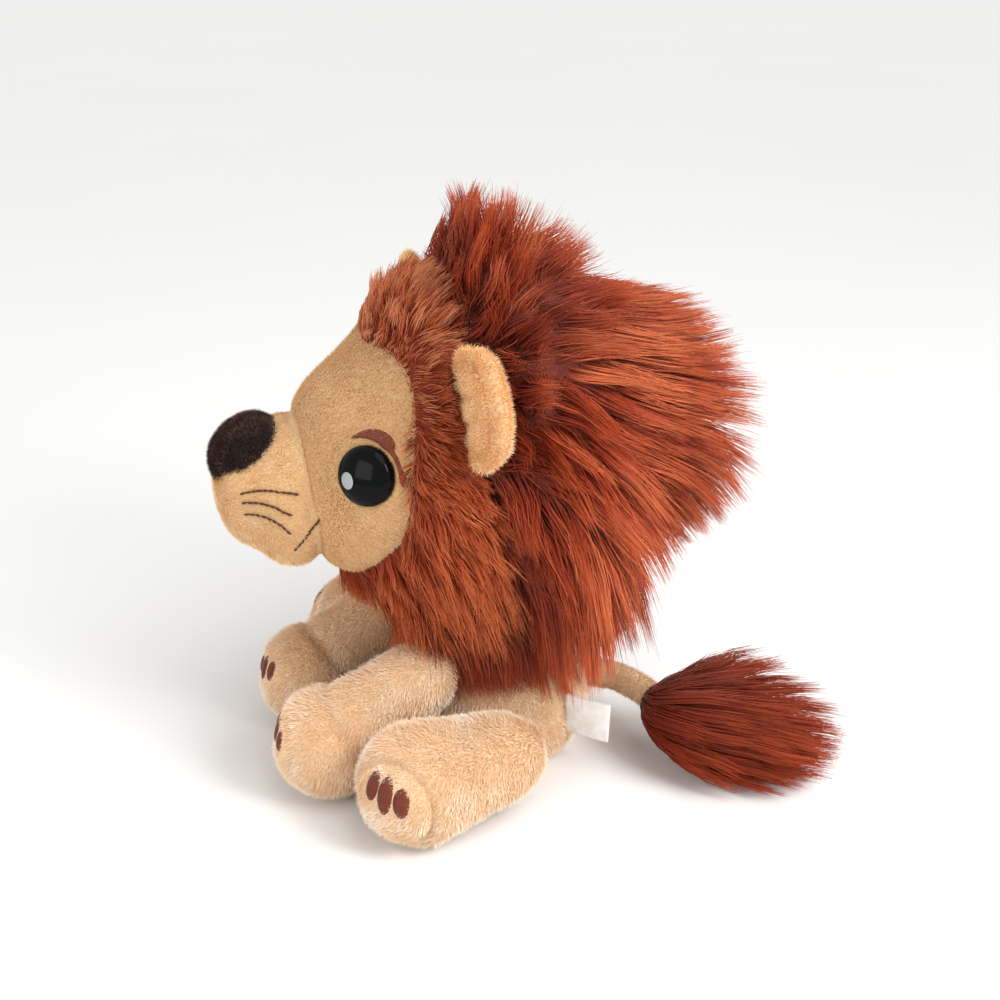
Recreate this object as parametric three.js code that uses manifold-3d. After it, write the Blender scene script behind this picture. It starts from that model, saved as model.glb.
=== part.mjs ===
// A sitting plush lion, built as it is sewn and stuffed: fabric shells, their fillings, snap-in eyes,
// embroidery and long-pile panels. Millimetres, +Z up. The lion faces -X, and its left side is -Y.
// The origin is the middle of the seat, where the body rests on the table.
import * as THREE from "three";
import { mergeVertices } from "three/addons/utils/BufferGeometryUtils.js";
import Module from "manifold-3d";

const wasm = await Module();
wasm.setup();

// General sizes
const clearance = 0.3; // between pieces that touch
const fabric = 1.6; // wall of a sewn shell, backing and short pile together
const footPress = 0.6; // how deep a soft foot is pressed flat on the table
const overrun = 20; // how far a cutter runs past what it cuts
const threadRadius = 0.55; // whisker and mouth thread
const patchThick = 0.9; // an embroidered patch

// Body
const seatRadius = 39;
const bellyRadius = 46;
const bellyHeight = 19;
const chestRadius = 38;
const chestHeight = 46;
const shoulderRadius = 32;
const shoulderHeight = 66;
const neckMouth = 11; // radius of the opening that the neck thread draws together
const pelletHeight = 17; // depth of the pellet bag in the seat
const neckThreadRadius = 0.6;
const neckThreadAngle = 34; // degrees down from the top of the shoulder dome

// Head: half widths and half heights of its rings, from the back of the skull to the muzzle seam
const headForward = 24; // the widest ring lies this far in front of the seat's middle
const headWide = 61;
const headTall = 59.5;
const headTilt = 7; // degrees by which every ring leans forward at its top
const headSink = 9; // how deep the shoulder dome reaches into the head
const skullBack = 22; // from the widest ring back to the rear ring
const skullRear = 57; // half size of the rear ring
const skullDepth = 44; // depth of the rounded back
const browForward = 28; // from the widest ring to the brow ring
const browWide = 52;
const browTall = 46;
const browDrop = 11;
const cheekForward = 15; // from the brow ring to the cheek ring
const cheekWide = 41.5;
const cheekTall = 40.5;
const cheekDrop = 6;
const seamForward = 10; // from the cheek ring to the muzzle seam
const seamWide = 33;
const seamTall = 31;
const seamDrop = 2;
const throatInset = 5.7; // the filling narrows by this much where it passes the seam

// Muzzle and nose
const seamLap = 4; // the muzzle's form begins this far behind the seam, where it is cut off
const muzzleForward = 13; // from the seam to the middle ring
const muzzleWide = 32;
const muzzleTall = 30;
const muzzleDrop = 4;
const snoutForward = 13; // from the middle ring to the front ring
const snoutWide = 25;
const snoutTall = 22;
const snoutRise = 3;
const snoutDepth = 10; // of its rounded front
const noseLong = 15; // half sizes of the nose pad
const noseWide = 16;
const noseTall = 10.5;
const noseTilt = 38; // degrees, its back is up
const noseLift = 18.5; // above the front ring's middle
const noseBack = 3.5; // behind it
const whiskerRuns = [
  { shares: [1, 0.34], angles: [22, 20] }, // from front to back along the muzzle, degrees up from its side
  { shares: [1, 0.3], angles: [11, 5] },
  { shares: [0.97, 0.38], angles: [-4, -15] },
];
const mouthRun = { shares: [0.42, 0.24], angles: [-52, -4] };
const threadSteps = 5;

// Eyes
const eyeRadius = 12;
const eyeDome = 6; // height of the glossy dome
const eyeRim = 1.4; // thickness of its flat rim
const eyeSink = 0.8; // how deep the washer pulls the rim into the fabric
const shankRadius = 2.2;
const shankLength = 11;
const washerRadius = 9;
const washerThick = 1.6;
const washerDepth = 5; // from the rim down to the washer
const eyeAlongShare = 0.55; // along the head's line
const eyeAngle = 18; // degrees up from the head's side
const lidRadius = 15; // of the embroidered lid's middle, at its front and its back
const lidBackRadius = 13;
const lidThick = 3.6;
const lidFront = 112; // degrees round the eye, from straight back over the top
const lidBack = -16;

// Ears
const earLong = 26; // from the head to the last ring
const earTip = 11; // depth of the rounded tip
const earWide = 23; // half width
const earThick = 5; // half thickness
const earRootThick = 0.8; // the sewn root is this thin
const earRootGap = 0.6; // it stands this far off the head, so that it can fold
const earDish = 3; // depth of the hollow in front
const earRootShare = 0.82; // half width at the root and at the last ring, beside the widest
const earTipShare = 0.86;
const earDishShare = 0.65; // size of the hollow in front
const earUp = 25; // degrees round the head from its side
const earAlongShare = 0.17;
const earSweep = 6; // degrees, laid back from square to the head
const earSwing = 10; // degrees each way that the ear folds
const earRoom = 3; // fur is parted this far from the folded ear

// Fur panels
const hoodPile = 8; // medium pile round the face
const hoodBeard = 9; // extra pile under the chin
const hoodBackShare = 0.14; // where the hood meets the mane along the head's line
const hoodSideShare = 0.4; // its front edge beside the eye
const hoodTopShare = 0.42; // its front edge over the brow
const hoodChinShare = 0.78; // its front edge under the chin
const hoodSteps = 5; // rings from its back to its front
const hoodRoundShare = 0.93; // how far the pile thins at its front edge
const maneSeam = 1.5; // gap between the hood and the mane
const maneLong = 113; // from the seam to the ends of the hair behind
const maneRise = 97; // from the head's middle to the highest ends
const maneSpread = 93; // to the widest ends
const maneHang = 94; // to the lowest ends
const maneShares = [
  { back: 0, rise: 0.67, spread: 0.7, hang: 0.71 },
  { back: 0.15, rise: 0.92, spread: 0.81, hang: 0.91 },
  { back: 0.3, rise: 0.82, spread: 0.88, hang: 0.89 },
  { back: 0.53, rise: 0.68, spread: 0.71, hang: 0.77 },
  { back: 0.75, rise: 0.46, spread: 0.46, hang: 0.5 },
];
const lowSquareShare = 0.8; // power that fills out the lower corners of the mane's rings
const lockCount = 14; // locks round the mane
const lockDepth = 4.5;
const lockTwist = 2.6; // how far the locks wind from front to back, in radians
const skirtRoom = 8; // fur hangs this far clear of the body
const skirtLow = 57; // lower edge of the fur, clear of the legs

// Legs
const legMouthShare = 0.33; // size of the opening in the sewn root

// Front legs
const frontBall = 15; // radius of the sewn root, centred on its joint
const frontHeight = 47;
const frontSteps = 3; // facets from straight ahead round the body
const frontLong = 40.5; // from the joint to the middle of the paw
const frontTurn = -8; // degrees outward that the leg points
const wristRadius = 18;
const pawRadius = 24;
const frontPadTurn = -6; // degrees outward that the pads face
const frontPadShare = 0.75; // size of its pads beside the hind pads

// Hind legs
const hindBall = 18;
const hindHeight = 24;
const hindSteps = 6;
const hindLong = 32;
const hindTurn = 17;
const ankleRadius = 22;
const footRadius = 25;
const hindPadTurn = 45;

// Toe pads
const padLong = 6; // half sizes
const padWide = 3.2;
const padSpread = 18; // degrees between pads
const padLift = 18; // degrees above level
const padDepth = 8; // how deep a pad's outline is cut into the paw
const padCount = 3;
const middlePadShare = 1.3;

// Tail
const tailRadius = 5.8;
const tailHeight = 22;
const tailEndHeight = 20;
const tailMouth = 2.5; // opening in the shell's root
const tailLong = 52;
const tailShares = [0.2, 0.4, 0.4]; // its three runs
const tailTurns = [30, 62, 76]; // degrees to the lion's left of each
const tuftTurn = 33; // degrees to the left that the tuft points
const tuftOverlap = 12; // length of tail inside the tuft
const tuftRoot = 9;
const tuftWide = 28;
const tuftTall = 25;
const tuftSpread = 25; // from the tail's end to the widest ring
const tuftFan = 22; // from there to the last ring
const tuftDepth = 19; // of its feathered end
const tuftEndShare = 0.8; // size of the last ring
const tuftLocks = 9;

// Sewn-in label
const labelLong = 20;
const labelWide = 18;
const labelThick = 0.8;
const labelBend = 3; // how far its free edge curls
const labelHeight = 26;
const labelSteps = 10; // facets from straight ahead round the body

// Facets
const headSides = 24;
const maneSides = 42;
const legSides = 14;
const padSides = 8;
const earRings = 3;
const eyeSides = 16;
const trimSides = 6;
const spanRings = 2; // rings between two stations of a stuffed form
const roundRings = 4; // rings of its round end
const tailSides = 10;
const tuftSides = 27;
const bodySides = 28;
const facetStep = 360 / bodySides; // limbs sit against the middle of a facet, at a whole number of steps
const bodySamples = 600; // points along the body's profile when a limb is set against it

const radians = THREE.MathUtils.degToRad;
const up = new THREE.Vector3(0, 0, 1);
const rearward = new THREE.Vector3(1, 0, 0);
const vector = (x, y, z) => new THREE.Vector3(x, y, z);

// A direction round the body: 0 degrees is straight ahead, and 90 is the lion's left.
const heading = (degrees) => vector(-Math.cos(radians(degrees)), -Math.sin(radians(degrees)), 0);

// A closed geometry as a solid that faces out, for cutting and joining.
function solid(geometry) {
  const bare = geometry.clone();
  for (const name of Object.keys(bare.attributes)) if (name !== "position") bare.deleteAttribute(name);
  const merged = mergeVertices(bare);
  const faces = new Uint32Array(merged.index.array);
  const corner = (i) => new THREE.Vector3().fromBufferAttribute(merged.attributes.position, faces[i]);
  let volume = 0;
  for (let i = 0; i < faces.length; i += 3) volume += corner(i).dot(corner(i + 1).cross(corner(i + 2)));
  if (volume < 0) faces.reverse();
  const vertProperties = new Float32Array(merged.attributes.position.array);
  return new wasm.Manifold(new wasm.Mesh({ numProp: 3, vertProperties, triVerts: faces }));
}

// A solid back as a geometry. side is -1 for a mirrored copy on the lion's right.
function geometryOf(body, side = 1) {
  const mesh = body.getMesh();
  const places = [];
  for (let i = 0; i < mesh.numVert; i++) {
    const [x, y, z] = mesh.vertProperties.slice(i * mesh.numProp, i * mesh.numProp + 3);
    places.push(x, side * y, z);
  }
  const faces = Array.from(mesh.triVerts);
  if (side < 0) faces.reverse();
  const geometry = new THREE.BufferGeometry();
  geometry.setAttribute("position", new THREE.Float32BufferAttribute(places, 3));
  geometry.setIndex(faces);
  geometry.computeVertexNormals();
  return geometry;
}

// Skins a list of rings, each a list of points or one pole point, into a closed surface.
function skin(rings, looped) {
  const points = rings.flat();
  const starts = rings.map((_, i) => rings.slice(0, i).flat().length);
  const faces = [];
  const bands = looped ? rings.length : rings.length - 1;
  for (let i = 0; i < bands; i++) {
    const k = (i + 1) % rings.length;
    const sides = Math.max(rings[i].length, rings[k].length);
    for (let j = 0; j < sides; j++) {
      const [a, b] = [j, j + 1].map((n) => starts[i] + (n % rings[i].length));
      const [d, c] = [j, j + 1].map((n) => starts[k] + (n % rings[k].length));
      if (a !== b) faces.push(a, b, c);
      if (c !== d) faces.push(a, c, d);
    }
  }
  const geometry = new THREE.BufferGeometry();
  const places = points.flatMap((point) => point.toArray());
  geometry.setAttribute("position", new THREE.Float32BufferAttribute(places, 3));
  geometry.setIndex(faces);
  return geometry;
}

// A stuffed form: oval rings along a line that swell and taper, with round or open ends.
// Each station is { at, wide, tall }. Angle 0 is the form's left side, and 90 degrees its top.
// facing turns every ring one way. locks makes waves of hair, and square fills the lower corners.
class StuffedForm {
  constructor(stations, options = {}) {
    const plain = { startDepth: 0, endDepth: 0, capRings: roundRings, facing: null, locks: null, square: 1 };
    Object.assign(this, { stations }, plain, options);
    this.line = new THREE.CatmullRomCurve3(stations.map((station) => station.at), false, "centripetal");
  }

  // The half size at a share of the line, eased between the stations.
  size(share, name) {
    const spans = this.stations.length - 1;
    const span = Math.min(Math.floor(share * spans), spans - 1);
    const near = [-1, 0, 1, 2].map((n) => this.stations[THREE.MathUtils.clamp(span + n, 0, spans)]);
    const curve = new THREE.SplineCurve(near.map((station, i) => new THREE.Vector2(i, station[name])));
    return curve.getPoint((1 + share * spans - span) / 3).y;
  }

  frame(share) {
    const along = this.facing ? this.facing.clone() : this.line.getTangent(share);
    const across = new THREE.Vector3().crossVectors(up, along).normalize();
    const rise = new THREE.Vector3().crossVectors(along, across);
    return { at: this.line.getPoint(share), along, across, rise };
  }

  // A point of the skin, offset by grow, its ring shrunk and pushed along the line.
  point(share, angle, grow = 0, shrink = 1, push = 0) {
    const { at, along, across, rise } = this.frame(share);
    const locks = this.locks;
    const wave = locks ? locks.depth * share * Math.cos(locks.count * angle + locks.twist * share) : 0;
    const power = Math.sin(angle) < 0 ? this.square : 1;
    const part = (name, turn) => {
      const full = Math.sign(turn) * Math.abs(turn) ** power;
      return (this.size(share, name) + grow + wave) * shrink * full;
    };
    at.addScaledVector(along, push);
    at.addScaledVector(across, part("wide", Math.cos(angle)));
    return at.addScaledVector(rise, part("tall", Math.sin(angle)));
  }

  normal(share, angle) {
    const step = 0.02;
    const along = this.point(share + step, angle).sub(this.point(share - step, angle));
    const round = this.point(share, angle + step).sub(this.point(share, angle - step));
    return new THREE.Vector3().crossVectors(round, along).normalize();
  }

  ring(share, sides, grow, shrink, push) {
    if (shrink === 0) return [this.point(share, 0, grow, 0, push)];
    const step = (2 * Math.PI) / sides;
    return Array.from({ length: sides }, (_, j) => this.point(share, step * j, grow, shrink, push));
  }

  // The rings of the skin. mouth leaves a hole of that radius in the round start.
  rings(sides, grow, mouth) {
    const found = [];
    const drawn = mouth ? Math.asin(mouth / (this.stations[0].wide + grow)) : 0;
    for (let i = 0; i < this.capRings && this.startDepth; i++) {
      const turn = drawn + ((Math.PI / 2 - drawn) * i) / this.capRings;
      const push = -(this.startDepth + grow) * Math.cos(turn);
      found.push(this.ring(0, sides, grow, Math.sin(turn), push));
    }
    const spans = (this.stations.length - 1) * spanRings;
    for (let i = 0; i <= spans; i++) found.push(this.ring(i / spans, sides, grow, 1, 0));
    for (let i = this.capRings - 1; i >= 0 && this.endDepth; i--) {
      const turn = ((Math.PI / 2) * i) / this.capRings;
      const push = (this.endDepth + grow) * Math.cos(turn);
      found.push(this.ring(1, sides, grow, Math.sin(turn), push));
    }
    return found;
  }

  // The whole form, with a flat face on an open end.
  body(sides, grow = 0) {
    const rings = this.rings(sides, grow, 0);
    if (!this.startDepth) rings.unshift([this.line.getPoint(0)]);
    if (!this.endDepth) rings.push([this.line.getPoint(1)]);
    return solid(skin(rings, false));
  }

  // The sewn shell, open at its mouth or at an end without a round.
  shell(sides, mouth = 0) {
    const rings = [...this.rings(sides, 0, mouth), ...this.rings(sides, -fabric, mouth).reverse()];
    return solid(skin(rings, mouth > 0 || !this.startDepth));
  }

  // A thin layer that lies on the skin, from which embroidery is cut.
  layer(sides) {
    return this.body(sides, clearance + patchThick).subtract(this.body(sides, clearance));
  }
}

// Cutters that are wider than the whole lion
const reach = headWide + maneLong + maneRise + overrun;
function slab(low, high) {
  return solid(new THREE.BoxGeometry(2 * reach, 2 * reach, high - low).translate(0, 0, (low + high) / 2));
}
function beyond(point, direction) {
  const block = new THREE.BoxGeometry(2 * reach, 2 * reach, reach).translate(0, 0, reach / 2);
  const turn = new THREE.Quaternion().setFromUnitVectors(up, direction.clone().normalize());
  return solid(block.applyQuaternion(turn).translate(...point.toArray()));
}
const underTable = slab(-reach, 0);

// An ellipsoid, its long axis tilted in the lion's middle plane.
function ellipsoid(long, wide, tall, tilt, at) {
  const ball = new THREE.SphereGeometry(1, headSides, headSides / 2).rotateX(Math.PI / 2);
  return solid(ball.scale(long, wide, tall).rotateY(radians(tilt)).translate(...at.toArray()));
}

// A profile of [radius, height] pairs turned about an axis through a point.
function turned(profile, at = vector(0, 0, 0), axis = up, sides = bodySides) {
  const outline = profile.map(([r, h]) => new THREE.Vector2(r, h));
  const lathe = new THREE.LatheGeometry(outline, sides, Math.PI / sides);
  const turn = new THREE.Quaternion().setFromUnitVectors(vector(0, 1, 0), axis);
  return solid(lathe.applyQuaternion(turn).translate(...at.toArray()));
}

// A flat outline pushed both ways through a surface point.
function punch(outline, at, normal, across, depth) {
  const shape = new THREE.Shape(outline);
  const geometry = new THREE.ExtrudeGeometry(shape, { depth: 2 * depth, bevelEnabled: false });
  const side = across.clone().addScaledVector(normal, -across.dot(normal)).normalize();
  const basis = new THREE.Matrix4().makeBasis(side, new THREE.Vector3().crossVectors(normal, side), normal);
  return solid(geometry.translate(0, 0, -depth).applyMatrix4(basis).translate(...at.toArray()));
}

function thread(points, radius) {
  const outline = Array.from({ length: trimSides }, (_, i) => {
    const angle = (2 * Math.PI * i) / trimSides;
    return new THREE.Vector2(radius * Math.cos(angle), radius * Math.sin(angle));
  });
  const extrudePath = new THREE.CatmullRomCurve3(points);
  return solid(new THREE.ExtrudeGeometry(new THREE.Shape(outline), { extrudePath, steps: points.length }));
}

// Body: a profile with a flat seat, a belly, a chest and a round shoulder dome.
function bodyProfile(inset) {
  const steps = 4;
  const side = new THREE.SplineCurve([
    new THREE.Vector2(seatRadius - inset, inset),
    new THREE.Vector2(bellyRadius - inset, bellyHeight),
    new THREE.Vector2(chestRadius - inset, chestHeight),
    new THREE.Vector2(shoulderRadius - inset, shoulderHeight),
  ]);
  const points = side.getPoints(2 * steps + 1).map((point) => point.toArray());
  const dome = shoulderRadius - inset;
  const domeEnd = Math.acos(neckMouth / dome);
  for (let i = 1; i <= steps; i++) {
    const turn = (domeEnd * i) / steps;
    points.push([dome * Math.cos(turn), shoulderHeight + dome * Math.sin(turn)]);
  }
  return points;
}
function bodySolid(inset) {
  const profile = bodyProfile(inset);
  return turned([[0, inset], ...profile, [0, profile.at(-1)[1]]]);
}
const fillInset = fabric + clearance;
const bodyShell = turned([[0, 0], ...bodyProfile(0), ...bodyProfile(fabric).reverse(), [0, fabric]]);
const pelletTop = fillInset + pelletHeight;
const pelletBag = bodySolid(fillInset).intersect(slab(-overrun, pelletTop));
const bodyFilling = bodySolid(fillInset).subtract(slab(-overrun, pelletTop + clearance));

// How far out a ball at this height must sit to touch the body with the clearance.
function standOff(height, ball) {
  const least = ball + clearance;
  const flat = Math.cos(Math.PI / bodySides);
  const outline = new THREE.Path(bodyProfile(0).map(([r, z]) => new THREE.Vector2(flat * r, z)));
  const beside = outline.getSpacedPoints(bodySamples).filter(({ y }) => Math.abs(y - height) < least);
  return Math.max(...beside.map(({ x, y }) => x + Math.sqrt(least ** 2 - (y - height) ** 2)));
}

// Neck: the thread lies on the shoulder dome, and the head sits over it like a cap.
const neckJoint = vector(0, 0, shoulderHeight);
const threadSeat = shoulderRadius + clearance + neckThreadRadius;
const neckRing = new THREE.TorusGeometry(
  threadSeat * Math.sin(radians(neckThreadAngle)),
  neckThreadRadius,
  trimSides,
  bodySides,
);
const threadHeight = shoulderHeight + threadSeat * Math.cos(radians(neckThreadAngle));
const neckThread = solid(neckRing.translate(0, 0, threadHeight));
const neckRoom = shoulderRadius + 3 * clearance + 2 * neckThreadRadius;
const neckBall = ellipsoid(neckRoom, neckRoom, neckRoom, 0, neckJoint);

// Head shell, open at the muzzle seam
const headFacing = vector(-Math.cos(radians(headTilt)), 0, -Math.sin(radians(headTilt)));
const headMiddle = vector(-headForward, 0, shoulderHeight + neckRoom + headTall - headSink);
const rearRing = headMiddle.clone().add(vector(skullBack, 0, headTall - skullRear));
const browRing = headMiddle.clone().add(vector(-browForward, 0, -browDrop));
const cheekRing = browRing.clone().add(vector(-cheekForward, 0, -cheekDrop));
const seamRing = cheekRing.clone().add(vector(-seamForward, 0, -seamDrop));
const head = new StuffedForm(
  [
    { at: rearRing, wide: skullRear, tall: skullRear },
    { at: headMiddle, wide: headWide, tall: headTall },
    { at: browRing, wide: browWide, tall: browTall },
    { at: cheekRing, wide: cheekWide, tall: cheekTall },
    { at: seamRing, wide: seamWide, tall: seamTall },
  ],
  { startDepth: skullDepth, facing: headFacing },
);

// Muzzle shell, open at the same seam
const muzzleStart = seamRing.clone().addScaledVector(headFacing, clearance);
const muzzleRing = seamRing.clone().add(vector(-muzzleForward, 0, -muzzleDrop));
const snoutRing = muzzleRing.clone().add(vector(-snoutForward, 0, snoutRise));
const muzzle = new StuffedForm(
  [
    { at: seamRing.clone().addScaledVector(headFacing, -seamLap), wide: seamWide, tall: seamTall },
    { at: muzzleRing, wide: muzzleWide, tall: muzzleTall },
    { at: snoutRing, wide: snoutWide, tall: snoutTall },
  ],
  { endDepth: snoutDepth, facing: headFacing },
);
const muzzleShell = muzzle.shell(headSides).intersect(beyond(muzzleStart, headFacing));

// Nose pad, sewn on the top of the muzzle's front
const noseAt = snoutRing.clone().add(vector(noseBack, 0, noseLift));
const noseBody = ellipsoid(noseLong, noseWide, noseTall, -noseTilt, noseAt);
const nose = noseBody.subtract(muzzle.body(headSides, clearance)).subtract(head.body(headSides, clearance));

// Eyes: a glossy dome with a shank, held by a washer inside the head
const eyeTurn = radians(eyeAngle);
const eyeNormal = head.normal(eyeAlongShare, eyeTurn);
const eyeAt = head.point(eyeAlongShare, eyeTurn).addScaledVector(eyeNormal, clearance - eyeSink);
const domeSteps = 5;
const domeArc = Array.from({ length: domeSteps + 1 }, (_, i) => {
  const turn = ((Math.PI / 2) * i) / domeSteps;
  return [i < domeSteps ? eyeRadius * Math.cos(turn) : 0, eyeRim + eyeDome * Math.sin(turn)];
});
const shank = [[0, -shankLength], [shankRadius, -shankLength], [shankRadius, 0]];
const eye = turned([...shank, [eyeRadius, 0], ...domeArc], eyeAt, eyeNormal, eyeSides);
const washerIn = shankRadius + clearance;
const washerTop = -washerDepth;
const washerLow = washerTop - washerThick;
const washerRing = [
  [washerIn, washerLow],
  [washerRadius, washerLow],
  [washerRadius, washerTop],
  [washerIn, washerTop],
];
const washer = turned([...washerRing, washerRing[0]], eyeAt, eyeNormal, eyeSides);
function eyePocket(radius, low, high) {
  return turned([[0, low], [radius, low], [radius, high], [0, high]], eyeAt, eyeNormal);
}
const shankHole = eyePocket(washerIn, -shankLength, overrun);
const rimRecess = eyePocket(eyeRadius + clearance, -clearance, overrun);
const fillingPocket = eyePocket(washerRadius + clearance, -shankLength - clearance, overrun);

// Embroidered lid: a crescent round the top and back of the eye
const lidSteps = 12;
function lidEdge(side) {
  return Array.from({ length: lidSteps + 1 }, (_, i) => {
    const share = i / lidSteps;
    const turn = radians(THREE.MathUtils.lerp(lidFront, lidBack, share));
    const swell = (lidThick / 2) * Math.sin(Math.PI * Math.sqrt(share)) + threadRadius / 2;
    const r = THREE.MathUtils.lerp(lidRadius, lidBackRadius, share) + side * swell;
    return new THREE.Vector2(r * Math.cos(turn), r * Math.sin(turn));
  });
}
const lidOutline = [...lidEdge(1), ...lidEdge(-1).reverse()];
const lid = punch(lidOutline, eyeAt, eyeNormal, rearward, eyeRadius)
  .intersect(head.layer(headSides))
  .subtract(eyePocket(eyeRadius + clearance, -overrun, overrun));

// Both sides of the head shell, and its filling, which runs on into the muzzle
const onBothSides = (cutter) => cutter.add(solid(geometryOf(cutter, -1)));
const headShell = head
  .shell(headSides)
  .subtract(neckBall)
  .subtract(onBothSides(shankHole))
  .subtract(onBothSides(rimRecess));
const throatSize = { wide: seamWide - throatInset, tall: seamTall - throatInset };
const throat = new StuffedForm(
  [
    { at: seamRing.clone().addScaledVector(headFacing, -fabric), ...throatSize },
    { at: muzzleStart.clone().addScaledVector(headFacing, fabric), ...throatSize },
  ],
  { facing: headFacing },
);
const headFilling = head
  .body(headSides, -fillInset)
  .add(muzzle.body(headSides, -fillInset).intersect(beyond(muzzleStart, headFacing)))
  .add(throat.body(headSides))
  .subtract(neckBall)
  .subtract(onBothSides(fillingPocket));

// Whisker and mouth threads lie on the muzzle, each from its front to its back.
function muzzleThread({ shares, angles }) {
  const points = Array.from({ length: threadSteps + 1 }, (_, i) => {
    const [share, angle] = [shares, angles].map((run) => THREE.MathUtils.lerp(...run, i / threadSteps));
    return muzzle.point(share, radians(angle), 2 * clearance + threadRadius);
  });
  return thread(points, threadRadius);
}

// Ears: a dished flap that stands out from the side of the head
const earFacing = radians(earUp);
const earRoot = head.point(earAlongShare, earFacing);
const earOut = vector(
  Math.sin(radians(earSweep)),
  -Math.cos(radians(earSweep)) * Math.cos(earFacing),
  Math.cos(radians(earSweep)) * Math.sin(earFacing),
);
function earForm([thickRoot, thickMiddle, thickTip], grow) {
  const start = earRoot.clone().addScaledVector(earOut, -earThick);
  const end = earRoot.clone().addScaledVector(earOut, earLong);
  return new StuffedForm(
    [
      { at: start, wide: thickRoot, tall: earRootShare * earWide + grow },
      { at: start.clone().lerp(end, 0.5), wide: thickMiddle, tall: earWide + grow },
      { at: end, wide: thickTip, tall: earTipShare * earWide + grow },
    ],
    { endDepth: earTip + grow, capRings: earRings },
  );
}
const swingOut = (earLong + earTip) * Math.sin(radians(earSwing));
const slotThick = [earThick + earRoom, earThick + earRoom + swingOut / 2, earThick + earRoom + swingOut];
const earSlot = earForm(slotThick, earRoom).body(legSides);
const earFlap = earForm([earRootThick, earThick, earThick], 0);
const earMiddle = earRoot.clone().addScaledVector(earOut, earLong / 2);
const dishBall = new THREE.SphereGeometry(1, legSides, legSides / 2);
dishBall.scale(earDish, earDishShare * earWide, earDishShare * earWide);
const dishTurn = new THREE.Quaternion().setFromUnitVectors(vector(0, -1, 0), earOut);
const dishAt = earMiddle.clone().addScaledVector(earFlap.frame(0.5).across, -earThick);
const earDishCut = solid(dishBall.applyQuaternion(dishTurn).translate(...dishAt.toArray()));
const ear = earFlap.body(legSides).subtract(head.body(headSides, earRootGap)).subtract(earDishCut);

// Fur hangs clear of the neck, the body and the legs, whichever way the head turns.
const skirt = bodySolid(-skirtRoom).add(neckBall).add(slab(-reach, skirtLow));
const onHead = head.body(headSides, clearance);
const earSlots = onBothSides(earSlot);

// Hood: medium pile from the mane's seam to a rounded edge round the face, deeper under the chin
function hoodRing(step, inside) {
  const across = step / hoodSteps;
  return Array.from({ length: headSides }, (_, j) => {
    const angle = (2 * Math.PI * j) / headSides;
    const lean = Math.sin(angle) ** 2;
    const middleShare = angle < Math.PI ? hoodTopShare : hoodChinShare;
    const frontShare = THREE.MathUtils.lerp(hoodSideShare, middleShare, lean);
    const pile = hoodPile + (angle > Math.PI ? hoodBeard * lean : 0);
    const grow = inside ? -fabric : pile * Math.sqrt(1 - hoodRoundShare * across ** 3);
    return head.point(THREE.MathUtils.lerp(hoodBackShare, frontShare, across), angle, grow);
  });
}
const hoodRows = Array.from({ length: hoodSteps + 1 }, (_, step) => step);
const hoodOutside = hoodRows.map((step) => hoodRing(step, false));
const hoodInside = hoodRows.map((step) => hoodRing(step, true)).reverse();
const hood = solid(skin([...hoodOutside, ...hoodInside], true))
  .subtract(onHead)
  .subtract(skirt)
  .subtract(earSlots);

// Mane: long pile that rises from the hood's seam and stands out behind the head
const seamMiddle = head.line.getPoint(hoodBackShare).addScaledVector(headFacing, -maneSeam);
const maneFacing = headFacing.clone().negate();
const maneRings = maneShares.map(({ back, rise, spread, hang }) => {
  const [above, below] = [rise * maneRise, hang * maneHang];
  const at = seamMiddle.clone().addScaledVector(maneFacing, back * maneLong);
  at.z = headMiddle.z + (above - below) / 2;
  return { at, wide: spread * maneSpread, tall: (above + below) / 2 };
});
const mane = new StuffedForm(maneRings, {
  endDepth: maneLong * (1 - maneShares.at(-1).back),
  facing: maneFacing,
  square: lowSquareShare,
  locks: { count: lockCount, depth: lockDepth, twist: lockTwist },
})
  .body(maneSides)
  .subtract(onHead)
  .subtract(skirt)
  .subtract(earSlots);

// A leg: a sewn ball root, a limb and a round foot pressed flat on the table.
class Leg {
  constructor({ ball, height, steps, long, turn, limb, foot, padTurn, padShare }) {
    this.joint = heading(steps * facetStep).multiplyScalar(standOff(height, ball));
    this.joint.z = height;
    this.foot = foot;
    const drop = height - (foot - footPress);
    this.footAt = this.joint.clone().addScaledVector(heading(turn), Math.sqrt(long ** 2 - drop ** 2));
    this.footAt.z -= drop;
    this.padTurn = padTurn;
    this.padShare = padShare;
    const knee = this.joint.clone().lerp(this.footAt, 0.5);
    this.form = new StuffedForm(
      [
        { at: this.joint, wide: ball, tall: ball },
        { at: knee, wide: limb, tall: limb },
        { at: this.footAt, wide: foot, tall: foot },
      ],
      { startDepth: ball, endDepth: foot },
    );
    this.shell = this.form.shell(legSides, legMouthShare * ball).subtract(underTable);
    this.filling = this.form.body(legSides, -fillInset);
  }

  pads() {
    const layer = this.form.layer(legSides);
    const first = -(padCount - 1) / 2;
    return Array.from({ length: padCount }, (_, i) => {
      const share = this.padShare * (i === (padCount - 1) / 2 ? middlePadShare : 1);
      const facing = heading(this.padTurn + (first + i) * padSpread);
      facing.multiplyScalar(Math.cos(radians(padLift))).z = Math.sin(radians(padLift));
      const oval = new THREE.EllipseCurve(0, 0, this.padShare * padWide, share * padLong);
      const at = this.footAt.clone().addScaledVector(facing, this.foot);
      const across = new THREE.Vector3().crossVectors(up, facing).normalize();
      return punch(oval.getPoints(padSides).slice(1), at, facing, across, padDepth).intersect(layer);
    });
  }
}
const frontLeg = new Leg({
  ball: frontBall,
  height: frontHeight,
  steps: frontSteps,
  long: frontLong,
  turn: frontTurn,
  limb: wristRadius,
  foot: pawRadius,
  padTurn: frontPadTurn,
  padShare: frontPadShare,
});
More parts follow.
